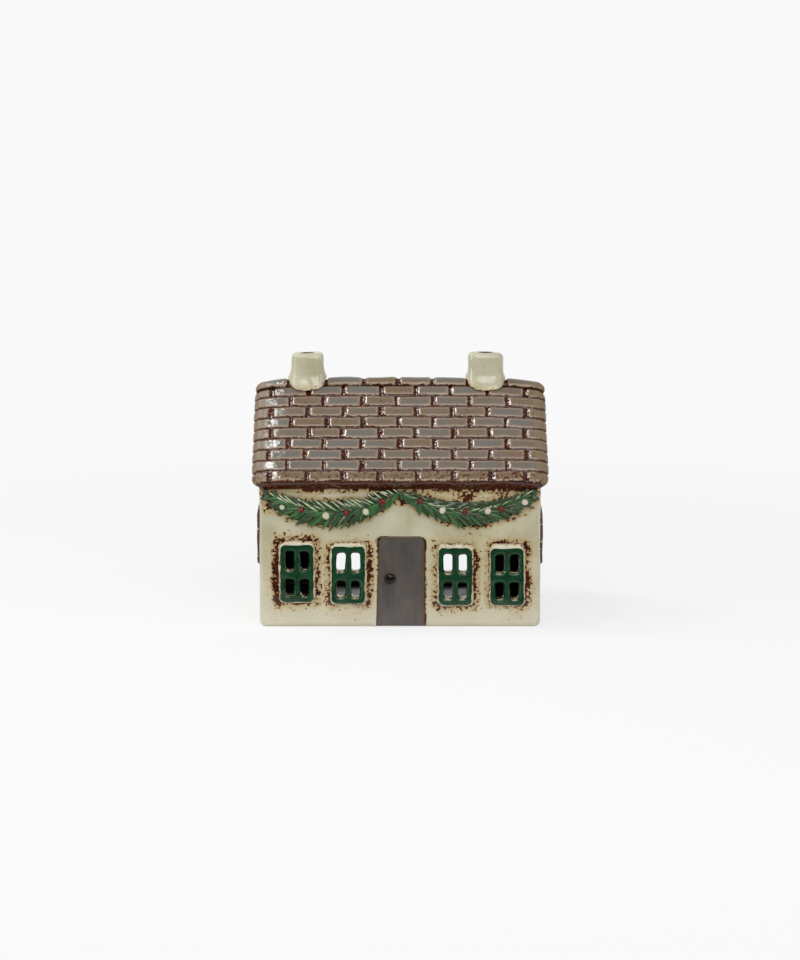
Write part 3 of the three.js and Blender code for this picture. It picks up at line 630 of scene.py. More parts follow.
# Joints: every second course is half a tile along, and each joint has its own luck
odd = add(mould, "ShaderNodeMath", {0: course, 1: 2.0}, operation="FLOORED_MODULO")[0]
shift = add(mould, "ShaderNodeMath", {0: odd, 1: 0.5}, operation="MULTIPLY")[0]
along = add(mould, "ShaderNodeMath", {0: swayed[0], 1: given["First joint"]}, operation="SUBTRACT")[0]
along = add(mould, "ShaderNodeMath", {0: along, 1: given["Tile length"]}, operation="DIVIDE")[0]
along = add(mould, "ShaderNodeMath", {0: along, 1: shift}, operation="SUBTRACT")[0]
joint = add(mould, "ShaderNodeMath", {0: along}, operation="ROUND")[0]
tile = add(mould, "ShaderNodeMath", {0: along}, operation="FLOOR")[0]
luck = add(mould, "ShaderNodeCombineXYZ", {0: joint, 1: course, 2: given["Seed"]})[0]
luck = add(mould, "ShaderNodeTexWhiteNoise", {"Vector": luck})
slip = add(mould, "ShaderNodeMapRange", {"Value": luck["Value"], "To Min": -0.05, "To Max": 0.05})[0]
from_joint = add(mould, "ShaderNodeMath", {0: along, 1: joint}, operation="SUBTRACT")[0]
from_joint = add(mould, "ShaderNodeMath", {0: from_joint, 1: slip}, operation="SUBTRACT")[0]
half_gap = add(mould, "ShaderNodeSeparateXYZ", {0: luck["Color"]})[1]
half_gap = add(mould, "ShaderNodeMapRange", {"Value": half_gap, "To Min": 0.36, "To Max": 0.6})[0]
half_gap = {0: half_gap, 1: given["Tile joint"]}
half_gap = add(mould, "ShaderNodeMath", half_gap, operation="MULTIPLY")[0]
from_joint = off_groove(from_joint, given["Tile length"], half_gap)
# A joint too near the verge is left out, which makes the last tile of that course longer
joint_at = add(mould, "ShaderNodeMath", {0: joint, 1: shift}, operation="ADD")[0]
joint_at = {0: joint_at, 1: given["Tile length"], 2: given["First joint"]}
joint_at = add(mould, "ShaderNodeMath", joint_at, operation="MULTIPLY_ADD")[0]
joint_at = add(mould, "ShaderNodeMath", {0: joint_at}, operation="ABSOLUTE")[0]
left_out = {0: joint_at, 1: given["Last joint"]}
left_out = add(mould, "ShaderNodeMath", left_out, operation="GREATER_THAN")[0]
from_joint = add(mould, "ShaderNodeMath", {0: left_out, 1: from_joint}, operation="ADD")[0]
from_edge = {0: from_line, 1: from_joint, 2: tile_corner}
from_edge = add(mould, "ShaderNodeMath", from_edge, operation="SMOOTH_MIN")[0]
# Faces: only the upper side of the slab, only from the first course down, and unevenly worn
face = {"Value": from_edge, "From Min": face_starts, "From Max": face_full}
face = add(mould, "ShaderNodeMapRange", face, interpolation_type="SMOOTHSTEP")[0]
outward = add(mould, "GeometryNodeInputNormal")[0]
upper = add(mould, "ShaderNodeSeparateXYZ", {0: outward})[2]
upper = add(mould, "ShaderNodeMapRange", {"Value": upper, "From Min": -0.35, "From Max": 0.1})[0]
face = add(mould, "ShaderNodeMath", {0: face, 1: upper}, operation="MULTIPLY")[0]
tiled = add(mould, "ShaderNodeMath", {0: course, 1: -0.5}, operation="GREATER_THAN")[0]
face = add(mould, "ShaderNodeMath", {0: face, 1: tiled}, operation="MULTIPLY")[0]
luck = add(mould, "ShaderNodeCombineXYZ", {0: tile, 1: course, 2: given["Seed"]})[0]
luck = add(mould, "ShaderNodeTexWhiteNoise", {"Vector": luck})["Value"]
worn = add(mould, "ShaderNodeMapRange", {"Value": luck, "To Min": 0.75, "To Max": 1.0})[0]
lift = add(mould, "ShaderNodeMath", {0: face, 1: worn}, operation="MULTIPLY")[0]
lumps = {"Vector": spot, "Scale": 1 / lump_size, "Detail": 1.0}
lumps = add(mould, "ShaderNodeTexNoise", lumps)[0]
lumps = add(mould, "ShaderNodeMapRange", {"Value": lumps, "To Max": 0.35, **most_noise})[0]
lift = add(mould, "ShaderNodeMath", {0: lift, 1: lumps}, operation="MAXIMUM")[0]
lift = add(mould, "ShaderNodeMath", {0: lift, 1: upper}, operation="MULTIPLY")[0]
lift = add(mould, "ShaderNodeMath", {0: lift, 1: given["Relief"]}, operation="MULTIPLY")[0]
lift = add(mould, "ShaderNodeVectorMath", {0: outward, "Scale": lift}, operation="SCALE")[0]
edge_share = add(mould, "ShaderNodeMapRange", {"Value": from_edge, "From Max": edge_reach})[0]
slab = given["Slab"]
for name, value in (("face", face), ("from_edge", edge_share), ("tile", luck), ("down", down)):
    noted = {"Geometry": slab, "Name": name, "Value": value}
    slab = add(mould, "GeometryNodeStoreNamedAttribute", noted)[0]
slab = add(mould, "GeometryNodeSetPosition", {"Geometry": slab, "Offset": lift})[0]
slab = add(mould, "GeometryNodeSetMaterial", {"Geometry": slab, "Material": given["Glaze"]})[0]
add(mould, "NodeGroupOutput", {0: slab})


def run_tree(piece, tree, values):
    """Runs a tree of nodes on a piece with these named inputs, and keeps what it makes."""
    work = piece.modifiers.new(tree.name, "NODES")
    work.node_group = tree
    for item in tree.interface.items_tree:
        if item.in_out == "INPUT" and item.name in values:
            work[item.identifier] = values[item.name]
    return applied(piece)


# Roof glaze: a runny grey over iron slip. It pools in the middle of each tile, breaks to tan
# at the tile's edges and to brown where it is thin, and leaves dark iron in the joints. The grey
# of the tile middles is partly painted sheen, standing for light from above mirrored there.
# On the last course it runs off, and at the verges it stays thin, dull and lumpy.
region_size, flow_size, fleck_size = 30 * mm, 4 * mm, 1.2 * mm
thinner_rightwards = 2.2  # per metre
last_starts, last_full = courses - 1.1, courses - 0.9  # in courses below the top line
verge_starts, verge_full = roof_end - 7 * mm, roof_end - 4 * mm
lumps_start, lumps_full = roof_end - 19 * mm, roof_end - 11 * mm
roof_glaze, tree, shader, place = new_glaze("grey_breaking_glaze")
tile_notes = ("face", "from_edge", "tile", "down")
face, from_edge, tile, down = [
    add(tree, "ShaderNodeAttribute", attribute_name=note)["Fac"] for note in tile_notes
]
region = add(tree, "ShaderNodeTexNoise", {"Vector": place, "Scale": 1 / region_size, "Detail": 2.0})[0]
flow = add(tree, "ShaderNodeTexNoise", {"Vector": place, "Scale": 1 / flow_size, "Detail": 3.0})[0]
fleck = {"Vector": place, "Scale": 1 / fleck_size, "Detail": 3.0, "Roughness": 0.65}
fleck = add(tree, "ShaderNodeTexNoise", fleck)[0]
thin = add(tree, "ShaderNodeMath", {0: tile, 1: 0.35, 2: region}, operation="MULTIPLY_ADD")[0]
thin = add(tree, "ShaderNodeMath", {0: flow, 1: 0.5, 2: thin}, operation="MULTIPLY_ADD")[0]
right = add(tree, "ShaderNodeSeparateXYZ", {0: place})[0]
thin = {0: right, 1: thinner_rightwards, 2: thin}
thin = add(tree, "ShaderNodeMath", thin, operation="MULTIPLY_ADD")[0]
thin = add(tree, "ShaderNodeMapRange", {"Value": thin, "From Min": 0.82, "From Max": 1.12})[0]
last = {"Value": down, "From Min": last_starts, "From Max": last_full, "To Max": 0.7}
last = add(tree, "ShaderNodeMapRange", last)[0]
thin = add(tree, "ShaderNodeMath", {0: thin, 1: last}, operation="MAXIMUM")[0]
# Partly painted sheen: the grey middles of the tiles stand in part for light from above mirrored in the
# glaze, against the tan rims.
middle = {0: thin, 6: colour("#6b6862"), 7: colour("#73624e")}
middle = add(tree, "ShaderNodeMix", middle, data_type="RGBA")[2]
middle = {0: last, 6: middle, 7: colour("#7c6951")}
middle = add(tree, "ShaderNodeMix", middle, data_type="RGBA")[2]
pool_and_sheen = add(tree, "ShaderNodeMath", {0: flow, 1: 0.35, 2: from_edge}, operation="MULTIPLY_ADD")[0]
pool_and_sheen = add(tree, "ShaderNodeMapRange", {"Value": pool_and_sheen, "From Min": 0.3, "From Max": 0.9})[0]
tint = add(tree, "ShaderNodeMix", {0: pool_and_sheen, 6: colour("#927d67"), 7: middle}, data_type="RGBA")[2]
aside = add(tree, "ShaderNodeMath", {0: right}, operation="ABSOLUTE")[0]
verge = {"Value": aside, "From Min": verge_starts, "From Max": verge_full}
verge = add(tree, "ShaderNodeMapRange", verge)[0]
bare = add(tree, "ShaderNodeMath", {0: verge, 1: 0.7}, operation="MULTIPLY")[0]
tint = add(tree, "ShaderNodeMix", {0: bare, 6: tint, 7: colour("#7b664a")}, data_type="RGBA")[2]
iron = {"Value": face, "From Min": 1.0, "From Max": 0.45, "To Max": 1.6}
iron = add(tree, "ShaderNodeMapRange", iron)[0]
iron = add(tree, "ShaderNodeMath", {0: last, 1: 0.45, 2: iron}, operation="MULTIPLY_ADD")[0]
iron = add(tree, "ShaderNodeMath", {0: thin, 1: 0.25, 2: iron}, operation="MULTIPLY_ADD")[0]
bled = add(tree, "ShaderNodeMath", {0: iron, 1: 0.34, 2: fleck}, operation="MULTIPLY_ADD")[0]
bled = add(tree, "ShaderNodeMapRange", {"Value": bled, "From Min": 0.68, "From Max": 0.78})[0]
dark = add(tree, "ShaderNodeMapRange", {"Value": fleck, **most_noise})[0]
dark = {0: dark, 6: colour("#1d0a04"), 7: colour("#54260f")}
dark = add(tree, "ShaderNodeMix", dark, data_type="RGBA")[2]
tint = add(tree, "ShaderNodeMix", {0: bled, 6: tint, 7: dark}, data_type="RGBA")[2]
tree.links.new(tint, shader["Base Color"])
rough = add(tree, "ShaderNodeMapRange", {"Value": verge, "To Min": 0.09, "To Max": 0.45})[0]
tree.links.new(rough, shader["Roughness"])
coarse = {"Value": aside, "From Min": lumps_start, "From Max": lumps_full, "To Min": 1.0, "To Max": 2.2}
coarse = add(tree, "ShaderNodeMapRange", coarse)[0]
lumps = add(tree, "ShaderNodeMath", {0: flow, 1: coarse}, operation="MULTIPLY")[0]
lumps = add(tree, "ShaderNodeMath", {0: fleck, 1: 0.35, 2: lumps}, operation="MULTIPLY_ADD")[0]
bump = add(tree, "ShaderNodeBump", {"Height": lumps, "Strength": 0.6, "Distance": 0.2 * mm})[0]
tree.links.new(bump, shader["Normal"])

mould_sizes = {
    "Tile length": tile_length,
    "Course height": course_height,
    "Top line": top_line,
    "Tile joint": tile_joint,
    "Course joint": course_joint,
    "Relief": relief,
    "First joint": first_joint,
    "Last joint": roof_end - least_tile,
    "Waver": edge_waver,
    "Glaze": roof_glaze,
}
rebate_soft = 0.4 * mm
for side, name in ((-1, "front_roof_slab"), (1, "back_roof_slab")):
    slab = box_grid("tiled_" + name, slab_columns, np.linspace(0, 1, 172), np.linspace(0, 1, 7))
    places = points(slab)
    share = places[:, 1].copy()
    reached = share * (eave_line - top_line) + top_line
    rebate = smooth_step(cap_line + rebate_soft, cap_line - rebate_soft, reached)
    over = np.clip((reached - eave_line + eave_round) / eave_round, 0, 1)
    top = roof_thick - relief - rebate * (ridge_thick - relief + lute)
    places = verge_shaped(places, 0, top - eave_round * (1 - np.cos(over * math.pi / 2)))
    corner = np.clip((reached - eave_line) / corner_round + 1, 0, 1)
    cut_back = corner_round * (1 - np.sqrt(1 - corner**2))
    end_share = smooth_step(slab_end - 3 * corner_round, slab_end, np.abs(places[:, 0]))
    places[:, 0] -= np.sign(places[:, 0]) * cut_back * end_share
    start = lute / 2 - places[:, 2] * tan_pitch
    places[:, 1] = start + share * (eave_line - start)
    move_points(slab, places)
    run_tree(slab, mould, mould_sizes | {"Seed": 4.0 + side})
    flat = points(slab)
    outward = side * (flat[:, 1] * cos_pitch + flat[:, 2] * sin_pitch)
    raised = underside_apex - flat[:, 1] * sin_pitch + flat[:, 2] * cos_pitch
    move_points(slab, np.column_stack([flat[:, 0], outward, raised]))
    if side < 0:
        slab.data.flip_normals()
    hand_pressed(slab, 24 * mm, 0.14 * mm, 11 + side)
    settled(slab)
    finished(slab, name, roof_glaze)

# Ridge: a row of saddle tiles from the same mould, bent over the crest while they are soft
# and luted down in the rebate over both slopes. It wears the same grey glaze.
arc = crest_radius * pitch
cap_half = arc + (cap_line - course_joint / 2) - (crest_radius - roof_thick) * tan_pitch
cap_rows = np.linspace(-cap_half, cap_half, 33)
cap = box_grid("tiled_ridge_cap", slab_columns, cap_rows, np.linspace(0, 1, 5))
move_points(cap, verge_shaped(points(cap), roof_thick - ridge_thick, roof_thick - relief))
cap_mould = {
    "Course height": 2 * cap_half + course_joint,
    "Top line": -cap_half - course_joint / 2,
    "Seed": 9.0,
}
run_tree(cap, mould, mould_sizes | cap_mould)
flat = points(cap)
radius = crest_radius + flat[:, 2] - roof_thick
turn = np.clip(flat[:, 1] / crest_radius, -pitch, pitch)
straight = flat[:, 1] - np.clip(flat[:, 1], -arc, arc)
outward = radius * np.sin(turn) + straight * np.cos(turn)
raised = crest_centre + radius * np.cos(turn) - np.abs(straight) * sin_pitch
move_points(cap, np.column_stack([flat[:, 0], outward, raised]))
hand_pressed(cap, 24 * mm, 0.22 * mm, 12)
settled(cap)
finished(cap, "ridge_cap", roof_glaze)

# Chimneys: two squared hollow stacks of clay, pulled over a form, with a rounded shoulder and a
# foot that is smeared out over the ridge and down both slopes. They are dipped in cream glaze.
smear = 2.2 * mm
smear_height, smear_full = 6 * mm, 1 * mm  # above the tiles
smear_starts, smear_whole = 4 * mm, 9 * mm  # away from the bore's axis
slope_starts, slope_whole = 3 * mm, 7 * mm  # away from the crest
iron_height, iron_full, foot_iron = 2.5 * mm, 0.5 * mm, 0.35
bore_edge, bore_inside = 3.6 * mm, 3.2 * mm
# For each: how much wider than the solid it is, also at its foot, and how far it stands aside
for seed, name, wider, wider_foot, aside in (
    (21, "left_chimney", 1.0, 1.05, 0.6 * mm),
    (22, "right_chimney", 1.08, 1.09, -0.6 * mm),
):
    stack = softened(clay_copy("glazed_" + name, [name]), 0.35 * mm, 24)
    hand_pressed(stack, 12 * mm, 0.1 * mm, seed)
    places = points(stack)
    tiles = underside_apex + roof_thick / cos_pitch - np.abs(places[:, 1]) * tan_pitch
    above = places[:, 2] - np.minimum(tiles, crest)
    middle = (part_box(name)[0].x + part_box(name)[1].x) / 2
    bore = np.hypot(places[:, 0] - middle, places[:, 1])
    smeared = smooth_step(smear_height, smear_full, above)
    smeared *= smooth_step(smear_starts, smear_whole, bore)
    lip = smooth_step(slope_starts, slope_whole, np.abs(places[:, 1])) * smeared
    places[:, 1] += smear * cos_pitch * lip * np.sign(places[:, 1])
    places[:, 2] -= smear * sin_pitch * lip
    places[:, 0] = middle + aside + (places[:, 0] - middle) * (wider + (wider_foot - wider) * smeared)
    move_points(stack, places)
    smoothed(stack, 12)
    paint(stack, "iron", foot_iron * smooth_step(iron_height, iron_full, above))
    paint(stack, "inside", smooth_step(bore_edge, bore_inside, bore))
    paint(stack, "bare", 0)
    settled(stack)
    finished(stack, name, cream_glaze)

# Door: a thin slab laid in its pocket in the front wall, a little narrower at its top, where
# slip has run in beside it. A grey wash is brushed on from top to foot with a soft shine,
# thinner at the rim, where the brown of the iron slip shows through.
stroke_wide, stroke_stretch, warm_size = 4 * mm, 0.22, 7 * mm
rim_wide, rim_full, rim_waver = 1.9 * mm, 0.4 * mm, 0.5 * mm
grey_wash, tree, shader, place = new_glaze("brushed_grey_glaze", 0.25)
strokes = add(tree, "ShaderNodeMapping", {"Vector": place, "Scale": (1.0, 1.0, stroke_stretch)})[0]
strokes = add(tree, "ShaderNodeTexNoise", {"Vector": strokes, "Scale": 1 / stroke_wide, "Detail": 4.0})[0]
strokes = add(tree, "ShaderNodeMapRange", {"Value": strokes, "From Min": 0.3, "From Max": 0.7})[0]
wash = {0: strokes, 6: colour("#47423e"), 7: colour("#575350")}
wash = add(tree, "ShaderNodeMix", wash, data_type="RGBA")[2]
warm = add(tree, "ShaderNodeTexNoise", {"Vector": place, "Scale": 1 / warm_size, "Detail": 2.0})[0]
warm = {"Value": warm, "From Min": 0.45, "From Max": 0.65, "To Max": 0.6}
warm = add(tree, "ShaderNodeMapRange", warm)[0]
wash = add(tree, "ShaderNodeMix", {0: warm, 6: wash, 7: colour("#5c4d44")}, data_type="RGBA")[2]
rim = add(tree, "ShaderNodeAttribute", attribute_name="rim")["Fac"]
wash = add(tree, "ShaderNodeMix", {0: rim, 6: wash, 7: colour("#554234")}, data_type="RGBA")[2]
tree.links.new(wash, shader["Base Color"])
bump = add(tree, "ShaderNodeBump", {"Height": strokes, "Strength": 0.25, "Distance": 0.12 * mm})[0]
tree.links.new(bump, shader["Normal"])
door = softened(clay_copy("brushed_door", ["door_panel"]), 0.4 * mm, 4)
hand_pressed(door, 12 * mm, 0.1 * mm, 31)
places = points(door)
filled = np.interp(places[:, 2], (0, door_high.z), (filled_at_foot, pocket_filled))
narrower = 1 - filled / (door_high.x - door_low.x)
places[:, 0] = door_high.x + (places[:, 0] - door_high.x) * narrower
move_points(door, places)
from_side = np.minimum(places[:, 0] - door_low.x - filled, door_high.x - places[:, 0])
from_rim = np.minimum(from_side, door_high.z - places[:, 2])
from_rim += rim_waver * wander(places, line_wave, 32)
paint(door, "rim", smooth_step(rim_wide, rim_full, from_rim))
finished(door, "door_panel", grey_wash)


# Knob: a bead of clay rolled between the fingers, pressed flat on the door and touched with a
# thick black glaze. It shines, but less than the glazes that were dipped.
def bead(name, node, seed, lumpy):
    """A hand-rolled bead that fills the box of a CAD node. Lumpy is a share of its radius."""
    ball = bmesh.new()
    bmesh.ops.create_icosphere(ball, subdivisions=4, radius=1)
    piece = new_piece(name, ball)
    piece.data.shade_smooth()
    low, high = np.array(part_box(node))
    places = points(piece)
    places *= (1 + lumpy * (wander(places, 2.4, seed) - 0.5))[:, None]
    move_points(piece, (low + high) / 2 + places * (high - low) / 2)
    return piece


dust_size = 0.8 * mm
knob_spread, knob_lift = (1.4, 1.15, 1.25), 0.4 * mm
black_glaze, tree, shader, place = new_glaze("black_glaze", 0.16)
dust = add(tree, "ShaderNodeTexNoise", {"Vector": place, "Scale": 1 / dust_size, "Detail": 2.0})[0]
ink = {0: dust, 6: colour("#040303"), 7: colour("#120e0c")}
ink = add(tree, "ShaderNodeMix", ink, data_type="RGBA")[2]
tree.links.new(ink, shader["Base Color"])
shader["Specular IOR Level"].default_value = 0.3
knob = bead("black_door_knob", "door_knob", 41, 0.05)
places = points(knob)
middle = places.mean(axis=0)
move_points(knob, middle + (places - middle) * knob_spread + (0, 0, knob_lift))
finished(knob, "door_knob", black_glaze)

# Windows: moulded frames laid over the panes that are cut in the walls, with a low cap of clay
# over the front ones and a hood over the gable ones. Cream glaze covers them, and the face is
# painted bottle green with a brush, thick and very shiny, not quite out to the edge.
uneven_size, brush_size = 2.5 * mm, 1.1 * mm
bottle_green, tree, shader, place = new_glaze("bottle_green_glaze", 0.1)
painted, iron = [
    add(tree, "ShaderNodeAttribute", attribute_name=note)["Fac"] for note in ("painted", "iron")
]
uneven = add(tree, "ShaderNodeTexNoise", {"Vector": place, "Scale": 1 / uneven_size, "Detail": 3.0})[0]
green = {0: uneven, 6: colour("#03180e"), 7: colour("#114827")}
green = add(tree, "ShaderNodeMix", green, data_type="RGBA")[2]
bled = add(tree, "ShaderNodeGroup", {"Glaze": colour("#ccc7b2"), "Iron": iron}, node_tree=speckle)
stroke = {"Vector": place, "Scale": 1 / brush_size, "Detail": 2.0, "Roughness": 0.6}
stroke = add(tree, "ShaderNodeTexNoise", stroke)[0]
brushed = add(tree, "ShaderNodeMath", {0: stroke, 1: 0.4, 2: painted}, operation="MULTIPLY_ADD")[0]
brushed = add(tree, "ShaderNodeMapRange", {"Value": brushed, "From Min": 0.62, "From Max": 0.74})[0]
tint = add(tree, "ShaderNodeMix", {0: brushed, 6: bled[0], 7: green}, data_type="RGBA")[2]
tree.links.new(tint, shader["Base Color"])
thick = add(tree, "ShaderNodeMath", {0: brushed, 1: 0.6, 2: stroke}, operation="MULTIPLY_ADD")[0]
bump = add(tree, "ShaderNodeBump", {"Height": thick, "Strength": 0.5, "Distance": 0.16 * mm})[0]
tree.links.new(bump, shader["Normal"])
band_side, band_top, band_foot = 0.75 * mm, 1.4 * mm, 0.7 * mm  # cream left round the green
paint_round, paint_waver, paint_soft = 2.4 * mm, 0.16 * mm, 0.3 * mm
painted_from, painted_full = 0.2 * mm, 0.7 * mm  # proud of the wall
hood_height = 5 * mm
cap_lift, cap_starts, cap_full = 0.6 * mm, 1.8 * mm, 0.2 * mm
sill_thin_and_highlit = 0.58  # how much thinner the green is on what faces up, partly a painted highlight there
# Iron along the wall: how strong it is, and how proud of the wall it ends and is full
gable_iron, front_iron = (1.2, 4.5 * mm, 2 * mm), (0.7, 2.4 * mm, 0.3 * mm)
hood_soft = 2 * mm
for seed, name in enumerate(window_rings, 50):
    on_gable = name.endswith("gable_window")
    window = softened(clay_copy("painted_" + name, [name]), 0.25 * mm, 2)
    hand_pressed(window, 9 * mm, 0.15 * mm, seed)
    low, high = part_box(name)
    places = points(window)
    if not on_gable:
        places[:, 2] += cap_lift * smooth_step(high.z - cap_starts, high.z - cap_full, places[:, 2])
        move_points(window, places)
    level = 1 if on_gable else 0  # the axis along the wall
    front = 1 - level  # and the one that it faces
    wall_side = wall_end if on_gable else wall_face
    top = high.z - band_top - (hood_height if on_gable else 0)
    foot = low.z + band_foot
    half_wide = (high[level] - low[level]) / 2 - band_side * (2 if on_gable else 1) - paint_round
    half_high = (top - foot) / 2 - paint_round
    off_side = np.abs(places[:, level] - (low[level] + high[level]) / 2) - half_wide
    off_end = np.abs(places[:, 2] - (top + foot) / 2) - half_high
    off_corner = np.hypot(np.maximum(off_side, 0), np.maximum(off_end, 0))
    from_rim = paint_round - off_corner - np.minimum(np.maximum(off_side, off_end), 0)
    from_rim += paint_waver * wander(places, line_wave, seed + 10)
    proud = np.abs(places[:, front]) - wall_side
    green_there = smooth_step(-paint_soft, paint_soft, from_rim)
    green_there *= smooth_step(painted_from, painted_full, proud)
    # Partly painted highlight: on faces that point up the green is thinned so cream specks show. They are
    # glaze run thin, and they also stand for light from above glinting on the sills.
    sill = smooth_step(0.3, 0.8, read(window.data.vertex_normals, "vector")[:, 2])
    green_there *= 1 - sill_thin_and_highlit * sill
    paint(window, "painted", green_there)
    strength, iron_ends, iron_full = gable_iron if on_gable else front_iron
    if on_gable:
        strength = strength * smooth_step(top + hood_soft, top, places[:, 2])  # none on the hood
    paint(window, "iron", strength * smooth_step(iron_ends, iron_full, proud))
    finished(window, name, bottle_green)

# Garland: two swags of long clay needles that are pressed on a band one by one, lying out
# towards the corners of the house. They are brushed in shiny greens, and along the upper edge
# the glaze runs off their backs and leaves them cream. These cream lines are partly a
# painted highlight, for the light from above catching the needles' backs.
swag_top = 64.6 * mm
swag_drop = 10.2 * mm
swag_gap = -0.3 * mm
swag_margin = 3.5 * mm
swag_reach = wall_end - swag_margin - swag_gap
swag_proud = 1.6 * mm
needles_in_row = 38
needle_long, needle_wide, needle_thick = 9 * mm, 1.8 * mm, 0.7 * mm
stations = 8  # places along a needle where its outline is set out
across = (-1, -0.6, 0, 0.6, 1)  # its points across, and how high its back is at each
backs = (0, 0.6, 1, 0.6, 0)


def needle_half(along):
    """Half the width of a needle one wide and one long: a blunt root and a drawn-out tip."""
    return 0.5 * np.sin(math.pi * (0.1 + 0.895 * along)) ** 0.75


blade = bmesh.new()
rings = []
for along in np.linspace(0, 1, stations).tolist():
    half = needle_half(along)
    rings.append([blade.verts.new((along, half * a, b * (0.3 + half))) for a, b in zip(across, backs)])
for first, second in zip(rings, rings[1:]):
    for a in range(len(across)):
        b = (a + 1) % len(across)
        blade.faces.new((first[a], second[a], second[b], first[b]))
blade.faces.new(rings[0])
blade.faces.new(rings[-1])
bmesh.ops.recalc_face_normals(blade, faces=blade.faces)
needle = new_piece("needle", blade)
needle.data.shade_smooth()
shape = points(needle)
widest = np.maximum(needle_half(shape[:, 0]), 0.01)
paint(needle, "rib", 1 - np.abs(shape[:, 1]) / widest)
paint(needle, "tip", shape[:, 0])
move_points(needle, shape * (needle_long, needle_wide, needle_thick))

# One row of needles, as a tree of nodes. Chance sets each one's place along the swag and across
# it, how deep its root is, its size, its lean and its tone, all between the two values here
chances = {
    "along": (0.1, 0.9),
    "aside": (0.0, 1.0),
    "depth": (-0.7, -1.3),
    "size": (0.8, 1.15),
    "lean": (0.75, 1.25),
    "tone": (0.0, 1.0),
}
spray_numbers = ("Reach", "Gap", "Top", "Drop", "Across", "Lean", "Follow", "Proud")
spray_takes = {"Needle": "Object", "Needles": "Int", **dict.fromkeys(spray_numbers, "Float")}
spray_takes |= {"Seed": "Int", "Glaze": "Material"}
spray = node_group("spray_of_needles", "GeometryNodeTree", spray_takes, {"Spray": "Geometry"})
given = add(spray, "NodeGroupInput")
index = add(spray, "GeometryNodeInputIndex")[0]
luck = {}
for i, (name, (least, most)) in enumerate(chances.items()):
    seed = add(spray, "ShaderNodeMath", {0: given["Seed"], 1: 10.0 * i})[0]
    luck[name] = add(spray, "FunctionNodeRandomValue", {2: least, 3: most, "Seed": seed})[1]
# The root's share of the way to the swag's outer end, where the last needles need some room
part = add(spray, "ShaderNodeMath", {0: index, 1: luck["along"]})[0]
with_room = add(spray, "ShaderNodeMath", {0: given["Needles"], 1: 3.0})[0]
part = add(spray, "ShaderNodeMath", {0: part, 1: with_room}, operation="DIVIDE")[0]
# Root of the needle on the swag's middle line, which sags between its two ends
rest = add(spray, "ShaderNodeMath", {0: 1.0, 1: part}, operation="SUBTRACT")[0]
sag = add(spray, "ShaderNodeMath", {0: part, 1: rest}, operation="MULTIPLY")[0]
sag = add(spray, "ShaderNodeMath", {0: sag, 1: -4.0}, operation="MULTIPLY")[0]
height = {0: sag, 1: given["Drop"], 2: given["Top"]}
height = add(spray, "ShaderNodeMath", height, operation="MULTIPLY_ADD")[0]
bow = add(spray, "ShaderNodeMath", {0: part, 1: math.pi}, operation="MULTIPLY")[0]
bow = add(spray, "ShaderNodeMath", {0: bow}, operation="SINE")[0]
bow = add(spray, "ShaderNodeMath", {0: bow, 1: 0.6}, operation="POWER")[0]
aside = {0: luck["aside"], 1: given["Across"]}
aside = add(spray, "ShaderNodeMath", aside, operation="MULTIPLY")[0]
height = add(spray, "ShaderNodeMath", {0: aside, 1: bow, 2: height}, operation="MULTIPLY_ADD")[0]
outward = {0: part, 1: given["Reach"], 2: given["Gap"]}
outward = add(spray, "ShaderNodeMath", outward, operation="MULTIPLY_ADD")[0]
forward = {0: luck["depth"], 1: given["Proud"]}
forward = add(spray, "ShaderNodeMath", forward, operation="MULTIPLY")[0]
root = add(spray, "ShaderNodeCombineXYZ", {0: outward, 1: forward, 2: height})[0]
# Its length follows the swag's width, and its lean is counted from the swag's line
long = add(spray, "ShaderNodeMath", {0: bow, 1: 0.62, 2: 0.38}, operation="MULTIPLY_ADD")[0]
long = add(spray, "ShaderNodeMath", {0: long, 1: luck["size"]}, operation="MULTIPLY")[0]
fall = add(spray, "ShaderNodeMath", {0: part, 1: 2.0, 2: -1.0}, operation="MULTIPLY_ADD")[0]
fall = add(spray, "ShaderNodeMath", {0: fall, 1: given["Drop"]}, operation="MULTIPLY")[0]
fall = add(spray, "ShaderNodeMath", {0: fall, 1: given["Reach"]}, operation="DIVIDE")[0]
fall = add(spray, "ShaderNodeMath", {0: fall, 1: given["Follow"]}, operation="MULTIPLY")[0]
fall = add(spray, "ShaderNodeMath", {0: fall}, operation="ARCTANGENT")[0]
lean = {0: given["Lean"], 1: luck["lean"], 2: fall}
lean = add(spray, "ShaderNodeMath", lean, operation="MULTIPLY_ADD")[0]
lean = add(spray, "ShaderNodeMath", {0: lean, 1: -1.0}, operation="MULTIPLY")[0]
turned = add(spray, "ShaderNodeCombineXYZ", {0: math.pi / 2, 1: lean})[0]
turned = add(spray, "FunctionNodeEulerToRotation", {0: turned})[0]
roots = add(spray, "GeometryNodePoints", {"Count": given["Needles"], "Position": root})[0]
one = add(spray, "GeometryNodeObjectInfo", {"Object": given["Needle"]})["Geometry"]
size = add(spray, "ShaderNodeCombineXYZ", {0: long, 1: luck["size"], 2: 1.0})[0]
laid = {"Points": roots, "Instance": one, "Rotation": turned, "Scale": size}
laid = add(spray, "GeometryNodeInstanceOnPoints", laid)[0]
shade = {"Geometry": laid, "Name": "shade", "Value": luck["tone"]}
laid = add(spray, "GeometryNodeStoreNamedAttribute", shade, domain="INSTANCE")[0]
laid = add(spray, "GeometryNodeRealizeInstances", {"Geometry": laid})[0]
laid = add(spray, "GeometryNodeSetMaterial", {"Geometry": laid, "Material": given["Glaze"]})[0]
add(spray, "NodeGroupOutput", {0: laid})

daub_size = 2.2 * mm
leaf_glaze, tree, shader, place = new_glaze("brushed_leaf_greens", 0.09)
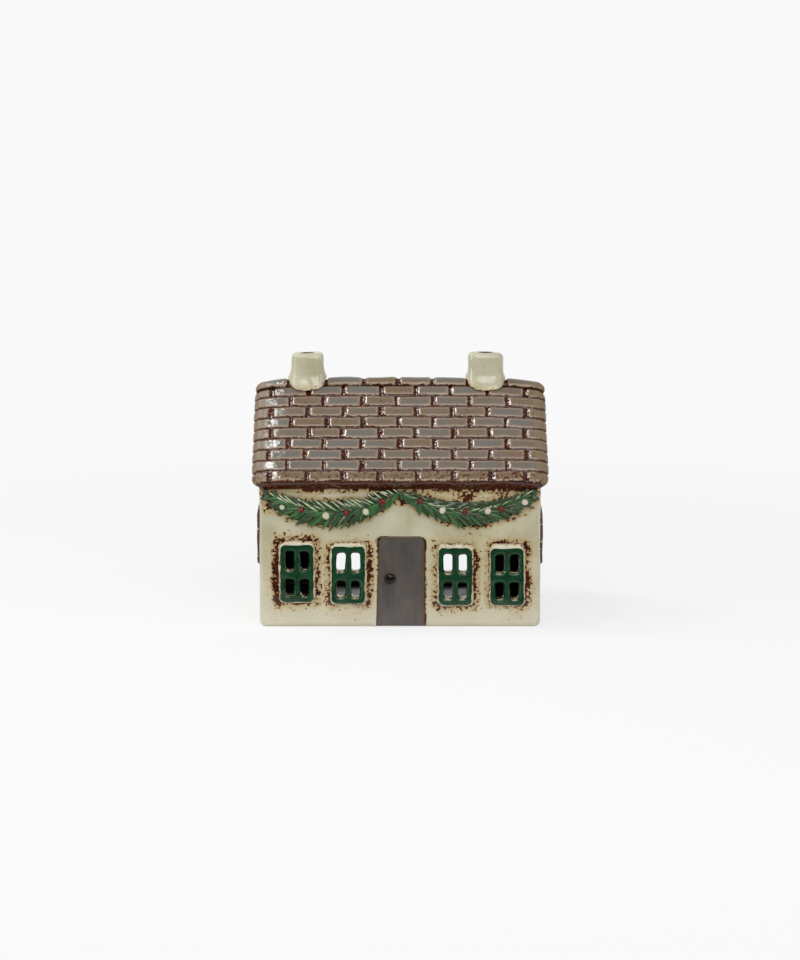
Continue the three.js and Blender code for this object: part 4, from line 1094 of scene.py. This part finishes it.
# What the glaze reads: a needle's own tone, its midrib, its tip, and how bare its row is, also its
# painted highlight
leaf_notes = ("shade", "rib", "tip", "upper")
shade, rib, tip, upper = [
    add(tree, "ShaderNodeAttribute", attribute_name=note)["Fac"] for note in leaf_notes
]
daub = add(tree, "ShaderNodeTexNoise", {"Vector": place, "Scale": 1 / daub_size, "Detail": 3.0})[0]
tone = add(tree, "ShaderNodeMath", {0: daub, 1: 0.6, 2: -0.3}, operation="MULTIPLY_ADD")[0]
tone = add(tree, "ShaderNodeMath", {0: tone, 1: shade})[0]
greens = add(tree, "ShaderNodeValToRGB", {0: tone})[0]
ramp = greens.node.color_ramp
ramp.elements[0].position, ramp.elements[0].color = 0.1, colour("#344027")
ramp.elements[1].position, ramp.elements[1].color = 1.0, colour("#4a6438")
ramp.elements.new(0.45).color = colour("#2f5130")
ramp.elements.new(0.75).color = colour("#3a6836")
edge = {"Value": rib, "From Min": 0.02, "From Max": 0.3, "To Min": 0.75, "To Max": 0.0}
edge = add(tree, "ShaderNodeMapRange", edge)[0]
tint = {0: edge, 6: greens, 7: colour("#3a2c1c")}
tint = add(tree, "ShaderNodeMix", tint, data_type="RGBA")[2]
# Partly painted highlight: cream along the midribs of the bare rows is glaze run thin, and it also stands
# for light from above catching the needles' backs.
ridge = add(tree, "ShaderNodeMapRange", {"Value": rib, "From Min": 0.45, "From Max": 1.0})[0]
along = add(tree, "ShaderNodeMapRange", {"Value": tip, "To Min": 0.45, "To Max": 1.0})[0]
worn = add(tree, "ShaderNodeMath", {0: ridge, 1: along}, operation="MULTIPLY")[0]
worn = add(tree, "ShaderNodeMath", {0: worn, 1: upper}, operation="MULTIPLY")[0]
worn = add(tree, "ShaderNodeMath", {0: daub, 1: 0.8, 2: worn}, operation="MULTIPLY_ADD")[0]
worn = add(tree, "ShaderNodeMapRange", {"Value": worn, "From Min": 0.87, "From Max": 0.97})[0]
tint = add(tree, "ShaderNodeMix", {0: worn, 6: tint, 7: colour("#dad7b6")}, data_type="RGBA")[2]
tree.links.new(tint, shader["Base Color"])

spray_sizes = {
    "Needle": needle,
    "Needles": needles_in_row,
    "Reach": swag_reach,
    "Gap": swag_gap,
    "Top": swag_top,
    "Drop": swag_drop,
    "Proud": swag_proud,
    "Glaze": leaf_glaze,
}
# The three rows of a swag are a lower, an upper and a middle one. For each swag: which way
# the needles of a row lean in degrees, how closely they follow the swag, and how bare they are,
# which also sets how much painted highlight their backs get
across_rows = (-1.2 * mm, 1 * mm, 0.8 * mm)
swags = {
    "garland_left": (70, -1, ((-44, 2.5, 0.0), (34, 0.5, 1.0), (-14, 3.0, 0.0))),
    "garland_right": (75, 1, ((-34, 4.0, 0.0), (16, 3.5, 0.8), (-10, 4.0, 0.0))),
}
for name, (seed, side, rows) in swags.items():
    band = softened(clay_copy("band", [name]), 0.35 * mm, 4)
    for noted, value in (("rib", 0.4), ("tip", 0.0), ("shade", 0.15), ("upper", 0.0)):
        paint(band, noted, value)
    whole = bmesh.new()
    whole.from_mesh(band.data)
    bpy.data.objects.remove(band)
    for i, (lean, follow, bare) in enumerate(rows):
        row = new_piece("row", bmesh.new())
        laid = {"Lean": math.radians(lean), "Follow": follow, "Across": across_rows[i], "Seed": seed + i}
        run_tree(row, spray, spray_sizes | laid)
        move_points(row, points(row) * (side, 1, 1) - (0, wall_face, 0))
        if side < 0:
            row.data.flip_normals()
        paint(row, "upper", bare)
        whole.from_mesh(row.data)
        bpy.data.objects.remove(row)
    swag = new_piece("brushed_" + name, whole)
    swag.data.shade_smooth()
    finished(swag, name, leaf_glaze)
bpy.data.objects.remove(needle)

# Berries: beads of clay pressed among the needles, six on each swag, dabbed with red or with
# white glaze so thickly that they shine.
dab_size = 1.5 * mm
berry_glazes = {}
for slot, dark, light in (("red_glaze", "#45100b", "#7c1d14"), ("white_glaze", "#b5ae94", "#cfc9b2")):
    glaze, tree, shader, place = new_glaze("glossy_" + slot, 0.1)
    dab = add(tree, "ShaderNodeTexNoise", {"Vector": place, "Scale": 1 / dab_size, "Detail": 2.0})[0]
    mixed = add(tree, "ShaderNodeMix", {0: dab, 6: colour(dark), 7: colour(light)}, data_type="RGBA")[2]
    tree.links.new(mixed, shader["Base Color"])
    berry_glazes[slot] = glaze
slots = {part["node"]: part["material_slot"] for part in frame["record"]["subparts"]}
for seed, name in enumerate(sorted(name for name in frame["nodes"] if name.startswith("berry_")), 80):
    berry = bead("glazed_" + name, name, seed, 0.08)
    finished(berry, name, berry_glazes[slots[name]])
